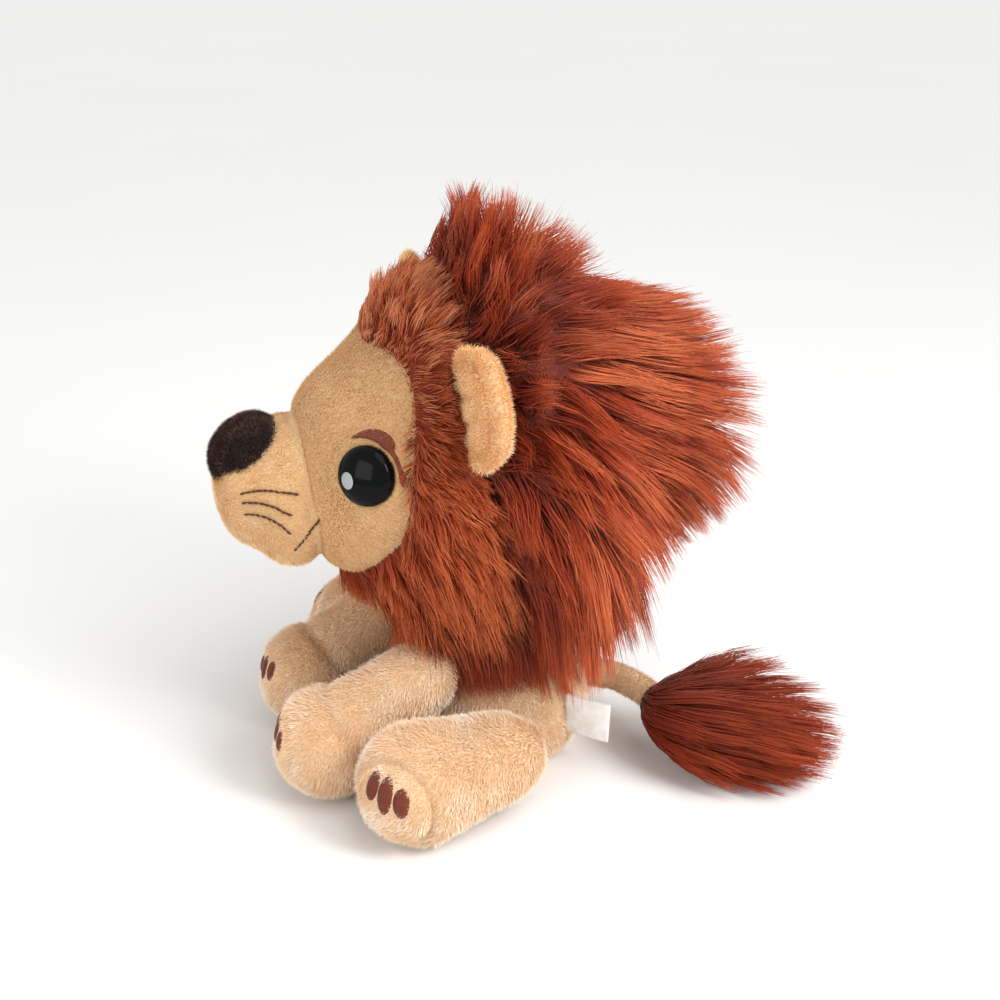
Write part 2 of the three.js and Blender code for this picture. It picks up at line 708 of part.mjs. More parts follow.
const hindLeg = new Leg({
  ball: hindBall,
  height: hindHeight,
  steps: hindSteps,
  long: hindLong,
  turn: hindTurn,
  limb: ankleRadius,
  foot: footRadius,
  padTurn: hindPadTurn,
  padShare: 1,
});

// Tail: a stuffed tube that bends to the lion's left, and a fur tuft round its end
const tailWay = (degrees) => heading(180 - degrees);
const tailPlaces = [vector(standOff(tailHeight, tailRadius), 0, tailHeight)];
tailShares.forEach((share, i) => {
  tailPlaces.push(tailPlaces[i].clone().addScaledVector(tailWay(tailTurns[i]), share * tailLong));
});
const tailEnd = tailPlaces.at(-1);
tailEnd.z = tailEndHeight;
const tail = new StuffedForm(
  tailPlaces.map((at) => ({ at, wide: tailRadius, tall: tailRadius })),
  { startDepth: tailRadius, endDepth: tailRadius },
);
const tuftWay = tailWay(tuftTurn);
const tuftStart = tailEnd.clone().addScaledVector(tail.frame(1).along, -tuftOverlap);
const tuftMiddle = tailEnd.clone().addScaledVector(tuftWay, tuftSpread);
tuftMiddle.z = tuftTall - footPress;
const tuftRear = tuftMiddle.clone().addScaledVector(tuftWay, tuftFan);
tuftRear.z = tuftTall * tuftEndShare - footPress;
const tuft = new StuffedForm(
  [
    { at: tuftStart, wide: tuftRoot, tall: tuftRoot },
    { at: tuftMiddle, wide: tuftWide, tall: tuftTall },
    { at: tuftRear, wide: tuftWide * tuftEndShare, tall: tuftTall * tuftEndShare },
  ],
  { endDepth: tuftDepth, locks: { count: tuftLocks, depth: lockDepth, twist: lockTwist } },
)
  .body(tuftSides)
  .subtract(tail.body(tailSides, clearance))
  .subtract(underTable);

// Label: a folded strip sewn into the body's side seam, its free edge curled
const labelAway = heading(labelSteps * facetStep);
const labelOut = bellyRadius * Math.cos(Math.PI / bodySides) + clearance;
const labelRoot = labelAway.clone().multiplyScalar(labelOut).add(vector(0, 0, labelHeight));
const labelPoints = 5;
const labelEdge = (offset) =>
  Array.from({ length: labelPoints + 1 }, (_, i) => {
    const share = i / labelPoints;
    return new THREE.Vector2(labelLong * share, labelBend * share ** 2 + offset);
  });
const labelOutline = [...labelEdge(0), ...labelEdge(labelThick).reverse()];
const label = punch(labelOutline, labelRoot, up, labelAway, labelWide / 2);

// Finishes
const finishes = {
  bodyPlush: [0xe8cfa4, 0.95],
  facePlush: [0xcfa26a, 0.95],
  muzzlePlush: [0xdcb987, 0.95],
  hoodPile: [0xc06a3c, 0.9],
  manePile: [0x9a3c1e, 0.85],
  nosePile: [0x3a211b, 0.95],
  eyeGloss: [0x0a0a0b, 0.08],
  trimThread: [0x7a3a1c, 0.8],
  whiskerThread: [0x4a2a1e, 0.8],
  labelCloth: [0xf2efe9, 0.85],
  stuffing: [0xf4f2ee, 1],
  pellets: [0xdedbd2, 0.6],
  washerPlastic: [0xe6e6e2, 0.5],
};
const group = new THREE.Group();
function addMesh(name, body, finish, side = 1) {
  const [color, roughness] = finishes[finish];
  const mesh = new THREE.Mesh(
    geometryOf(body, side),
    new THREE.MeshStandardMaterial({ color, roughness, metalness: 0 }),
  );
  mesh.name = name;
  group.add(mesh);
}
function addPair(name, body, finish) {
  addMesh(name + "_left", body, finish);
  addMesh(name + "_right", body, finish, -1);
}

addMesh("torso_shell", bodyShell, "bodyPlush");
addMesh("torso_filling", bodyFilling, "stuffing");
addMesh("pellet_bag", pelletBag, "pellets");
addMesh("neck_thread", neckThread, "labelCloth");
addMesh("label_tag", label, "labelCloth");
addMesh("head_shell", headShell, "facePlush");
addMesh("head_filling", headFilling, "stuffing");
addMesh("muzzle_shell", muzzleShell, "muzzlePlush");
addMesh("nose_pad", nose, "nosePile");
addMesh("hair_hood", hood, "hoodPile");
addMesh("mane", mane, "manePile");
addPair("eye", eye, "eyeGloss");
addPair("eye_washer", washer, "washerPlastic");
addPair("eye_lid", lid, "trimThread");
whiskerRuns.forEach((run, i) => addPair("whisker_" + (i + 1), muzzleThread(run), "whiskerThread"));
addPair("mouth_thread", muzzleThread(mouthRun), "whiskerThread");
addPair("ear", ear, "bodyPlush");
for (const [name, leg] of [["front", frontLeg], ["hind", hindLeg]]) {
  addPair(name + "_leg_shell", leg.shell, "bodyPlush");
  addPair(name + "_leg_filling", leg.filling, "stuffing");
  leg.pads().forEach((pad, i) => addPair(name + "_pad_" + (i + 1), pad, "trimThread"));
}
addMesh("tail_shell", tail.shell(tailSides, tailMouth), "bodyPlush");
addMesh("tail_filling", tail.body(tailSides, -fillInset), "stuffing");
addMesh("tail_tuft", tuft, "manePile");

export default group;
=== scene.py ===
"""Looks of a sitting plush lion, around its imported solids.

The stuffed skins follow the same forms as the solids. Short pile, the medium-pile hood, the long-pile
mane, the tail tuft, the stitches and the embroidery are laid on them by node trees built here.
Sizes are in millimetres until a mesh is made. The lion faces -X, and its left side is -Y.
"""

import logging
import math
from collections.abc import Callable
from dataclasses import dataclass
from enum import Enum
from functools import cache, cached_property

import bpy
import numpy as np
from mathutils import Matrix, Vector
from mathutils.bvhtree import BVHTree
from mathutils.kdtree import KDTree


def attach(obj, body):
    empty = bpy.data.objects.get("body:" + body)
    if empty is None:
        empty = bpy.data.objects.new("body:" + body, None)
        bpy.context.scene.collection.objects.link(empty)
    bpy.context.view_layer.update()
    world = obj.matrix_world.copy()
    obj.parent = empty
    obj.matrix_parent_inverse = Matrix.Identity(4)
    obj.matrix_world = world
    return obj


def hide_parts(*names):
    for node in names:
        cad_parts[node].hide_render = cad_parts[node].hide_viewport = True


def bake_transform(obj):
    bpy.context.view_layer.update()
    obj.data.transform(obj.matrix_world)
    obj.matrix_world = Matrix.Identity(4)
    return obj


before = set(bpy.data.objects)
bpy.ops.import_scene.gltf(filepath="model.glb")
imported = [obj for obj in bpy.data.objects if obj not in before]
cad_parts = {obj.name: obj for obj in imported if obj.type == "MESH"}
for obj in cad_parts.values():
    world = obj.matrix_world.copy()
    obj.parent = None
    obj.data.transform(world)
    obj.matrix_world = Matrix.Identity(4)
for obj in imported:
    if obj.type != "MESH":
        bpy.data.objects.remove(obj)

Array = np.ndarray
Object = bpy.types.Object
Socket = bpy.types.NodeSocket
NodeTree = bpy.types.NodeTree
Chance = np.random.Generator
Colour = tuple[float, float, float, float]
Triple = tuple[float, float, float]
Ring = tuple[float, float, float, float]
Station = tuple[Array, float, float]
MM = 0.001
TURN = 2 * math.pi
UP = np.array((0.0, 0.0, 1.0))
REARWARD = np.array((1.0, 0.0, 0.0))
LOG = logging.getLogger("lion")


class Side(Enum):
    """A side of the lion, with the sign that its left-hand shape's Y is multiplied by."""

    LEFT = 1
    RIGHT = -1

    @property
    def label(self) -> str:
        """The side's ending in a piece's name."""
        return self.name.lower()


class Limb(Enum):
    """The two kinds of leg."""

    FRONT = "front"
    HIND = "hind"


def unit(vectors: Array) -> Array:
    """Vectors scaled to a length of 1."""
    return vectors / np.maximum(np.linalg.norm(vectors, axis=-1, keepdims=True), 1e-9)


def mix(first: Array, second: Array, share: Array) -> Array:
    """The value at a share of the way from first to second."""
    return first + (second - first) * share


def smooth(share: Array) -> Array:
    """A share eased at both of its ends."""
    held = np.clip(share, 0, 1)
    return held * held * (3 - 2 * held)


def beside(way: Array, out: Array) -> Array:
    """Directions without the part of them that points out."""
    return unit(way - out * np.sum(way * out, -1, keepdims=True))


def fading(gap: Array, ease: float) -> Array:
    """1 where a gap is closed, eased to 0 where it has opened as far as the ease."""
    return 1 - smooth(gap / ease)


def lengths(vectors: Array) -> Array:
    """How long vectors are."""
    return np.linalg.norm(vectors, axis=-1)


def round_turn(count: int) -> Array:
    """Angles that divide a whole turn."""
    return np.arange(count) * TURN / count


def heading(degrees: float) -> Array:
    """A direction round the body: 0 degrees is straight ahead, and 90 the lion's left."""
    return np.array((-math.cos(math.radians(degrees)), -math.sin(math.radians(degrees)), 0.0))


def eased(values: Array, share: Array) -> Array:
    """Values joined by a smooth uniform curve that rests at its ends.

    Args:
        values: The values, one row each.
        share: Places along them, from 0 to 1.

    Returns:
        One row for each place.
    """
    last = len(values) - 1
    share = np.asarray(share, float)
    span = np.clip(np.floor(share * last).astype(int), 0, last - 1)
    part = share * last - span
    a, b, c, d = (values[np.clip(span + n, 0, last)] for n in (-1, 0, 1, 2))
    part = part.reshape(part.shape + (1,) * (a.ndim - part.ndim))
    start, end = (c - a) / 2, (d - b) / 2
    cube = (2 * b - 2 * c + start + end) * part**3
    return cube + (-3 * b + 3 * c - 2 * start - end) * part**2 + start * part + b


class Line:
    """A smooth line through points, spaced by their distances."""

    def __init__(self, points: Array) -> None:
        self.points = np.asarray(points, float)

    def at(self, share: Array) -> Array:
        """Points at shares of the line."""
        p = self.points
        last = len(p) - 1
        share = np.asarray(share, float)
        span = np.clip(np.floor(share * last).astype(int), 0, last - 1)
        part = (share * last - span)[..., None]
        known = np.vstack((2 * p[0] - p[1], p, 2 * p[-1] - p[-2]))
        a, b, c, d = (known[span + n] for n in range(4))
        t0, t1, t2 = (np.linalg.norm(n - m, axis=-1, keepdims=True) ** 0.5 for m, n in ((a, b), (b, c), (c, d)))
        start = ((b - a) / t0 - (c - a) / (t0 + t1) + (c - b) / t1) * t1
        end = ((c - b) / t1 - (d - b) / (t1 + t2) + (d - c) / t2) * t1
        square = 3 * (c - b) - 2 * start - end
        return b + start * part + square * part**2 + (2 * (b - c) + start + end) * part**3

    def along(self, share: Array) -> Array:
        """Directions of the line at shares of it."""
        step = 1e-4
        return unit(self.at(np.minimum(share + step, 1)) - self.at(np.maximum(share - step, 0)))


class StuffedForm:
    """Oval rings along a line that swell and taper, with round ends.

    A place on it is a number: 0 to 1 along the line, down to -1 over the round start, and up to 2 over the
    round end. Angle 0 is the form's left side, and a quarter turn its top.
    """

    def __init__(
        self,
        stations: list[Station],
        depths: tuple[float, float] = (0.0, 0.0),
        facing: Array | None = None,
        square: float = 1.0,
    ) -> None:
        self.line = Line(np.array([at for at, _, _ in stations]))
        self.halves = np.array([(wide, tall) for _, wide, tall in stations], float)
        self.depths = depths
        self.facing = facing
        self.square = square

    def frame(self, share: Array) -> tuple[Array, Array, Array]:
        """The directions along, across and up a ring."""
        along = self.line.along(share) if self.facing is None else np.broadcast_to(self.facing, (*share.shape, 3))
        across = unit(np.cross(UP, along))
        return along, across, np.cross(along, across)

    def cover(self, place: Array, angle: Array, grow: Array | float = 0.0) -> Array:
        """Points of the form's surface.

        Args:
            place: Where along the form, from -1 to 2.
            angle: Where round it, in radians.
            grow: How far outside the surface.

        Returns:
            The points.
        """
        place, angle, grow = np.broadcast_arrays(np.asarray(place, float), angle, grow)
        share = np.clip(place, 0, 1)
        before, after = np.clip(-place, 0, 1), np.clip(place - 1, 0, 1)
        turn = (1 - before - after) * math.pi / 2
        ends = (self.depths[1] + grow) * (after > 0) - (self.depths[0] + grow) * (before > 0)
        along, across, rise = self.frame(share)
        power = np.where(np.sin(angle) < 0, self.square, 1.0)
        half = eased(self.halves, share) + grow[..., None]
        round_parts = np.stack((np.cos(angle), np.sin(angle)), -1)
        parts = half * np.sin(turn)[..., None] * np.sign(round_parts) * np.abs(round_parts) ** power[..., None]
        found = self.line.at(share) + along * (ends * np.cos(turn))[..., None]
        return found + across * parts[..., :1] + rise * parts[..., 1:]

    def normal(self, place: Array, angle: Array) -> Array:
        """Directions that point out of the surface."""
        step = 0.01
        low = -1 if self.depths[0] else 0
        high = 2 if self.depths[1] else 1
        place = np.clip(place, low + 2 * step, high - 2 * step)
        along = self.cover(place + step, angle) - self.cover(place - step, angle)
        around = self.cover(place, angle + step) - self.cover(place, angle - step)
        return unit(np.cross(around, along))

    def skin(self, sides: int, rings: int, caps: int) -> "Shape":
        """The closed surface.

        Args:
            sides: Points in a ring.
            rings: Rings along the line.
            caps: Rings of each round end.

        Returns:
            The surface.
        """
        start = np.linspace(-1, 0, caps + 1)[1:-1] if self.depths[0] else np.array(())
        end = np.linspace(1, 2, caps + 1)[1:-1] if self.depths[1] else np.array(())
        places = np.concatenate((start, np.linspace(0, 1, rings), end))
        angles = round_turn(sides)
        low = self.cover(np.array(-1.0), 0.0) if self.depths[0] else self.line.at(np.array(0.0))
        high = self.cover(np.array(2.0), 0.0) if self.depths[1] else self.line.at(np.array(1.0))
        return Shape.wrapped(self.cover(places[:, None], angles[None]), (low, high))


@dataclass
class Shape:
    """A mesh in the making, its points in millimetres."""

    points: Array
    faces: list[tuple[int, ...]]

    @classmethod
    def wrapped(cls, rings: Array, poles: tuple[Array, Array] | None) -> "Shape":
        """Rings skinned into a closed surface.

        Args:
            rings: Points by ring and by side.
            poles: The points that close its ends, or None where the last ring meets the first.

        Returns:
            The surface, facing out.
        """
        rows, sides = rings.shape[:2]
        grid = np.arange(rows * sides).reshape(rows, sides)
        if poles is None:
            grid = np.vstack((grid, grid[:1]))
        near = np.roll(grid, -1, axis=1)
        faces = np.stack((grid[:-1], near[:-1], near[1:], grid[1:]), -1).reshape(-1, 4).tolist()
        points = rings.reshape(-1, 3)
        if poles is not None:
            low, high = len(points), len(points) + 1
            faces += [(low, b, a) for a, b in zip(grid[0], near[0])]
            faces += [(high, a, b) for a, b in zip(grid[-1], near[-1])]
            points = np.vstack((points, poles[0], poles[1]))
        return cls(points, [tuple(int(n) for n in face) for face in faces]).outward()

    def outward(self) -> "Shape":
        """The same surface with its faces turned out."""
        volume = 0.0
        for size in (3, 4):
            corners = np.array([face for face in self.faces if len(face) == size], int).reshape(-1, size)
            for n in range(1, size - 1):
                a, b, c = (self.points[corners[:, k]] for k in (0, n, n + 1))
                volume += float(np.einsum("ij,ij->", a, np.cross(b, c)))
        if volume < 0:
            self.faces = [face[::-1] for face in self.faces]
        return self

    def to_object(self, name: str) -> Object:
        """The surface as a smooth object at the origin."""
        mesh = bpy.data.meshes.new(name)
        mesh.from_pydata((self.points * MM).tolist(), [], self.faces)
        mesh.shade_smooth()
        return linked(name, mesh)


def linked(name: str, data: bpy.types.ID) -> Object:
    """A new object of a mesh, a light or a camera, in the scene."""
    obj = bpy.data.objects.new(name, data)
    bpy.context.scene.collection.objects.link(obj)
    return obj


def settle(obj: Object) -> None:
    """Makes an object's modifiers part of its mesh."""
    graph = bpy.context.evaluated_depsgraph_get()
    mesh = bpy.data.meshes.new_from_object(obj.evaluated_get(graph), depsgraph=graph)
    old, obj.data = obj.data, mesh
    obj.modifiers.clear()
    if not old.users:
        bpy.data.meshes.remove(old)
    mesh.name = obj.name


def places_of(obj: Object) -> Array:
    """An object's points, in millimetres."""
    found = np.empty(len(obj.data.vertices) * 3, np.float32)
    obj.data.vertices.foreach_get("co", found)
    return found.reshape(-1, 3).astype(float) / MM


def move_to(obj: Object, points: Array) -> None:
    """Puts an object's points where they are wanted, in millimetres."""
    obj.data.vertices.foreach_set("co", (points * MM).astype(np.float32).ravel())
    obj.data.update()


def normals_of(obj: Object) -> Array:
    """The directions out of an object's surface at its points."""
    found = np.empty(len(obj.data.vertices) * 3, np.float32)
    obj.data.vertex_normals.foreach_get("vector", found)
    return found.reshape(-1, 3).astype(float)


def keep(obj: Object, name: str, values: Array) -> None:
    """Stores a number or a vector for every point of an object.

    Args:
        obj: The object.
        name: The attribute's name.
        values: One number or one vector for each point.
    """
    vector = values.ndim == 2
    attribute = obj.data.attributes.new(name, "FLOAT_VECTOR" if vector else "FLOAT", "POINT")
    attribute.data.foreach_set("vector" if vector else "value", values.astype(np.float32).ravel())


def twin(obj: Object, name: str) -> Object:
    """A mirrored copy of a left-hand piece for the lion's right.

    Args:
        obj: The left-hand piece.
        name: The copy's name.

    Returns:
        The copy, its faces turned out again.
    """
    copy = linked(name, obj.data.copy())
    move_to(copy, places_of(copy) * (1, -1, 1))
    copy.data.flip_normals()
    copy.data.name = name
    return copy


def pair(obj: Object, name: str) -> list[tuple[Object, Side]]:
    """A left-hand piece, renamed, and its mirrored twin.

    Args:
        obj: The left-hand piece.
        name: The pieces' name without its side.

    Returns:
        Both pieces with their sides.
    """
    obj.name = obj.data.name = f"{name}_{Side.LEFT.label}"
    return [(obj, Side.LEFT), (twin(obj, f"{name}_{Side.RIGHT.label}"), Side.RIGHT)]


class Surface:
    """A skin that other pieces are laid on."""

    def __init__(self, *objs: Object) -> None:
        points: list[Array] = []
        faces: list[list[int]] = []
        for obj in objs:
            start = sum(len(part) for part in points)
            points.append(places_of(obj))
            faces += [[start + n for n in face.vertices] for face in obj.data.polygons]
        self.tree = BVHTree.FromPolygons(np.vstack(points).tolist(), faces)

    def drop(self, points: Array, direction: Array, rise: float = 40.0) -> Array:
        """Where points land on the skin.

        Args:
            points: The points.
            direction: The way that they fall.
            rise: How far they are raised first.

        Returns:
            The places, with points that miss left where they are.
        """
        found = points.copy()
        way = Vector(direction).normalized()
        for n, point in enumerate(points):
            hit = self.tree.ray_cast(Vector(point) - way * rise, way)[0]
            if hit is not None:
                found[n] = hit
        return found


@dataclass(frozen=True)
class Stuffing:
    """Filling that swells a sewn skin, as a cloth simulation under pressure."""

    voxel: float = 4.5
    pressure: float = 4.0
    frames: int = 20
    most: float = 1.8
    evening: float = 0.5
    passes: int = 3

    def fill(self, obj: Object, held: Callable[[Array], Array]) -> None:
        """Swells a closed skin between the places where it is held, and makes its mesh final.

        Args:
            obj: The skin.
            held: Gives, for points, how firmly each is held, from 0 to 1.
        """
        remesh = obj.modifiers.new("Weave", "REMESH")
        remesh.mode, remesh.voxel_size, remesh.use_smooth_shade = "VOXEL", self.voxel * MM, True
        evened = obj.modifiers.new("Even", "SMOOTH")
        evened.factor, evened.iterations = self.evening, self.passes
        settle(obj)
        rest = places_of(obj)
        firm = held(rest)
        group = obj.vertex_groups.new(name="held")
        for n, weight in enumerate(firm):
            group.add([n], float(weight), "REPLACE")
        cloth = obj.modifiers.new("Cloth", "CLOTH")
        cloth.settings.use_pressure = True
        cloth.settings.uniform_pressure_force = self.pressure
        cloth.settings.vertex_group_mass = "held"
        cloth.settings.effector_weights.gravity = 0.0
        cloth.point_cache.frame_start, cloth.point_cache.frame_end = 1, self.frames
        scene = bpy.context.scene
        for number in range(1, self.frames + 1):
            scene.frame_set(number)
        settle(obj)
        obj.vertex_groups.clear()
        scene.frame_set(1)
        moved = places_of(obj) - rest
        far = np.linalg.norm(moved, axis=1, keepdims=True)
        move_to(obj, rest + moved * np.minimum(1, self.most / np.maximum(far, 1e-6)))
        finer = obj.modifiers.new("Finer", "SUBSURF")
        finer.levels = finer.render_levels = 1
        settle(obj)
        obj.data.shade_smooth()


def press(obj: Object, distance: Array, depth: float, width: float) -> None:
    """Presses a seam into a skin.

    Args:
        obj: The skin.
        distance: Every point's distance from the seam.
        depth: How deep the seam lies.
        width: How far its slope reaches.
    """
    sunk = depth * np.exp(-((distance / width) ** 2))
    move_to(obj, places_of(obj) - normals_of(obj) * sunk[:, None])


def rest_flat(obj: Object, level: float = 0.05) -> None:
    """Presses what lies under the table's level flat on it."""
    points = places_of(obj)
    points[:, 2] = np.maximum(points[:, 2], level)
    move_to(obj, points)


@dataclass(frozen=True)
class Crossing:
    """What hangs across a joint: the body above and the body below it and two heights, which are only reported; the
    piece is fastened to neither.
    """

    above: str
    below: str
    high: float
    low: float


def ride(
    obj: Object,
    body: str | Crossing,
    nodes: tuple[str, ...] = (),
) -> None:
    """Fastens a finished piece to the frame and reports it; a piece that hangs across a joint is fastened to no body,
    its place made part of its mesh.

    Args:
        obj: The piece.
        body: The body that it moves with, or the two that it hangs across.
        nodes: The solids that it stands for.
    """
    if isinstance(body, Crossing):
        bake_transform(obj)
    else:
        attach(obj, body)
    if nodes:
        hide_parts(*nodes)
    faces = sum(len(face.vertices) - 2 for face in obj.data.polygons)
    LOG.info("%s rides on %s with %d triangles", obj.name, body, faces)


def ride_both(
    obj: Object,
    name: str,
    body: str,
    nodes: tuple[str, ...] = (),
) -> None:
    """Fastens a left-hand piece and its mirrored twin, where * stands for the side.

    Args:
        obj: The left-hand piece.
        name: The pieces' name without its side.
        body: The body that each moves with.
        nodes: The solids that each stands for.
    """
    for piece, side in pair(obj, name):
        body_here, *nodes_here = (label.replace("*", side.label) for label in (body, *nodes))
        ride(piece, body_here, tuple(nodes_here))


def colour(shade: Triple) -> Colour:
    """A colour written as on a screen, from 0 to 255 by the sRGB curve, as light."""
    parts = [value / 255 for value in shade]
    light = [part / 12.92 if part <= 0.04045 else ((part + 0.055) / 1.055) ** 2.4 for part in parts]
    return light[0], light[1], light[2], 1.0


class Wiring:
    """A node tree in the making."""

    def __init__(self, tree: NodeTree) -> None:
        self.tree = tree

    def add(self, kind: str, inputs: dict[str | int, object] | None = None, **settings: object) -> bpy.types.Node:
        """Adds a node.

        Args:
            kind: The node's type.
            inputs: Values or sockets for its inputs, by name or number.
            settings: Its own properties.

        Returns:
            The node.
        """
        node = self.tree.nodes.new(kind)
        for name, value in settings.items():
            setattr(node, name, value)
        for key, value in (inputs or {}).items():
            if isinstance(key, int):
                socket = node.inputs[key]
            else:
                socket = next(s for s in node.inputs if s.name == key and s.enabled)
            if isinstance(value, Socket):
                self.tree.links.new(value, socket)
            else:
                socket.default_value = value
        return node

    def out(self, kind: str, inputs: dict[str | int, object] | None = None, **settings: object) -> Socket:
        """Adds a node and gives its first output in use."""
        node = self.add(kind, inputs, **settings)
        return next(s for s in node.outputs if s.enabled)

    def math(self, operation: str, *values: object) -> Socket:
        """Adds a calculation with numbers."""
        return self.out("ShaderNodeMath", dict(enumerate(values)), operation=operation)

    def product(self, *values: object) -> Socket:
        """Adds the product of two or more numbers."""
        found, *others = values
        for other in others:
            found = self.math("MULTIPLY", found, other)
        return found

    def blend(self, share: object, first: object, second: object) -> Socket:
        """Adds a mix of two colours."""
        return self.out("ShaderNodeMix", {"Factor": share, "A": first, "B": second}, data_type="RGBA")

    def ramp(self, value: object, low: float, high: float, start: float = 0.0, end: float = 1.0) -> Socket:
        """Adds an eased step from start to end between two values."""
        inputs = {0: value, 1: low, 2: high, 3: start, 4: end}
        return self.out("ShaderNodeMapRange", inputs, interpolation_type="SMOOTHSTEP")

    def noise(self, place: Socket, scale: object, detail: float, distortion: float = 0.0) -> Socket:
        """Adds the value of a noise."""
        inputs = {"Vector": place, "Scale": scale, "Detail": detail, "Distortion": distortion}
        return self.out("ShaderNodeTexNoise", inputs)

    def kept(self, name: str, kind: str = "FLOAT") -> Socket:
        """Adds an attribute's value."""
        return self.out("GeometryNodeInputNamedAttribute", {"Name": name}, data_type=kind)

    def keep(self, geometry: Socket, name: str, value: Socket, kind: str = "FLOAT", domain: str = "POINT") -> Socket:
        """Adds an attribute to a geometry."""
        inputs = {"Geometry": geometry, "Name": name, "Value": value}
        return self.out("GeometryNodeStoreNamedAttribute", inputs, data_type=kind, domain=domain)


def new_group(name: str, kind: str, **sockets: str) -> tuple[NodeTree, Wiring, bpy.types.NodeOutputs]:
    """Starts a node group.

    Args:
        name: Its name.
        kind: What it works on, Shader or Geometry.
        sockets: The names of its inputs by type, and after "to_" those of its outputs.

    Returns:
        The group, its wiring and what is put in.
    """
    tree = bpy.data.node_groups.new(name, f"{kind}NodeTree")
    for label, names in sockets.items():
        way, value = ("OUTPUT", label[3:]) if label.startswith("to_") else ("INPUT", label)
        for socket in names.split(", "):
            tree.interface.new_socket(socket, in_out=way, socket_type=f"NodeSocket{value}")
    wire = Wiring(tree)
    return tree, wire, wire.add("NodeGroupInput").outputs


@cache
def pile_mottle() -> NodeTree:
    """The uneven look of brushed pile: soft patches, tufts and fine fibres."""
    sockets = {"Vector": "Place", "Float": "Patch size, Fibre size", "to_Float": "Patches, Fibres, Height"}
    tree, wire, put = new_group("Pile mottle", "Shader", **sockets)
    wide = wire.math("DIVIDE", 1.0, put["Patch size"])
    fine = wire.math("DIVIDE", 1.0, put["Fibre size"])
    place = put["Place"]
    patches = wire.noise(place, wide, 3.0, 0.4)
    tufts = wire.noise(place, wire.product(wide, 5.0), 2.0, 1.0)
    fibres = wire.noise(place, fine, 4.0, 1.5)
    both = wire.math("ADD", wire.product(patches, 0.6), wire.product(tufts, 0.4))
    height = wire.math("ADD", wire.product(tufts, 0.5), wire.product(fibres, 0.5))
    ends = {"Patches": wire.ramp(both, 0.36, 0.64), "Fibres": wire.ramp(fibres, 0.35, 0.65), "Height": height}
    wire.add("NodeGroupOutput", ends)
    return tree


@cache
def fibre_tint() -> NodeTree:
    """The colour of a fibre from its root to its tip, and from fibre to fibre: painted shade at the root, a painted
    glow at the tip, and pale or dark by tone.
    """
    sockets = {"Vector": "Map", "Float": "Reach", "Color": "Root, Body, Tip, Pale, Dark", "to_Color": "Color"}
    tree, wire, put = new_group("Fibre tint", "Shader", **sockets)
    parts = wire.add("ShaderNodeSeparateXYZ", {0: put["Map"]})
    tone, along = parts.outputs[0], parts.outputs[1]
    root, body, tip, pale, dark = (put[label] for label in ("Root", "Body", "Tip", "Pale", "Dark"))
    # Painted shade: each fibre darkens towards its root, deep in the pile
    rooted = wire.out("ShaderNodeMapRange", {0: along, 1: 0.02, 2: put["Reach"]})
    root_shaded = wire.blend(rooted, root, body)
    # Painted light: the outer half pales to the tip colour, a glow of light through the tips
    tip_glowing = wire.blend(wire.ramp(along, 0.5, 1.0), root_shaded, tip)
    # Pale and dark by tone: random from lock to lock, and painted highlight and shade where a piece sets tone by
    # place
    bright = wire.product(wire.ramp(tone, 0.55, 1.0), wire.ramp(along, 0.12, 0.6))
    lit = wire.blend(bright, tip_glowing, pale)
    dim = wire.product(wire.ramp(tone, 0.45, 0.0), wire.ramp(along, 1.0, 0.3, 0.55, 1.0))
    wire.add("NodeGroupOutput", {"Color": wire.blend(dim, lit, dark)})
    return tree


class Finish:
    """A finish of the lion, made as a material when it is first used."""

    name: str

    def wire(self, wiring: Wiring) -> dict[str, object]:
        """Adds the finish's nodes and gives what its shader needs."""
        raise NotImplementedError

    def material(self) -> bpy.types.Material:
        """The material."""
        if self.name in bpy.data.materials:
            return bpy.data.materials[self.name]
        made = bpy.data.materials.new(self.name)
        made.use_nodes = True
        made.node_tree.nodes.clear()
        wiring = Wiring(made.node_tree)
        shader = wiring.out("ShaderNodeBsdfPrincipled", self.wire(wiring))
        wiring.add("ShaderNodeOutputMaterial", {"Surface": shader})
        return made

    def dress(self, obj: Object) -> Object:
        """Gives the finish to an object."""
        obj.data.materials.clear()
        obj.data.materials.append(self.material())
        return obj


@dataclass(frozen=True)
class PlushSkin(Finish):
    """Knitted backing and the short pile that stands on it."""

    name: str
    # deep: painted shade between the fibres
    deep: Triple
    base: Triple
    # light: the lighter brushed patches, partly random tone and partly painted sheen
    light: Triple
    patch: float = 26.0
    grain: float = 0.9
    bump: float = 0.5
    sheen: float = 0.25

    def wire(self, wiring: Wiring) -> dict[str, object]:
        """Patches of brushed pile, lighter partly at random and partly with painted sheen, over a fine grain of
        fibres with painted shade between them.
        """
        place = wiring.add("ShaderNodeTexCoord").outputs["Object"]
        inputs = {"Place": place, "Patch size": self.patch * MM, "Fibre size": self.grain * MM}
        mottle = wiring.add("ShaderNodeGroup", inputs, node_tree=pile_mottle())
        patched = wiring.blend(mottle.outputs["Patches"], colour(self.base), colour(self.light))
        # Painted shade: the deep colour shows between the fibres, at least four tenths of it everywhere
        fibres = wiring.product(mottle.outputs["Fibres"], 0.6)
        tint = wiring.blend(fibres, colour(self.deep), patched)
        inputs = {"Strength": self.bump, "Distance": 1.0 * MM, "Height": mottle.outputs["Height"]}
        normal = wiring.out("ShaderNodeBump", inputs)
        return {"Base Color": tint, "Roughness": 0.95, "Sheen Weight": self.sheen, "Normal": normal}


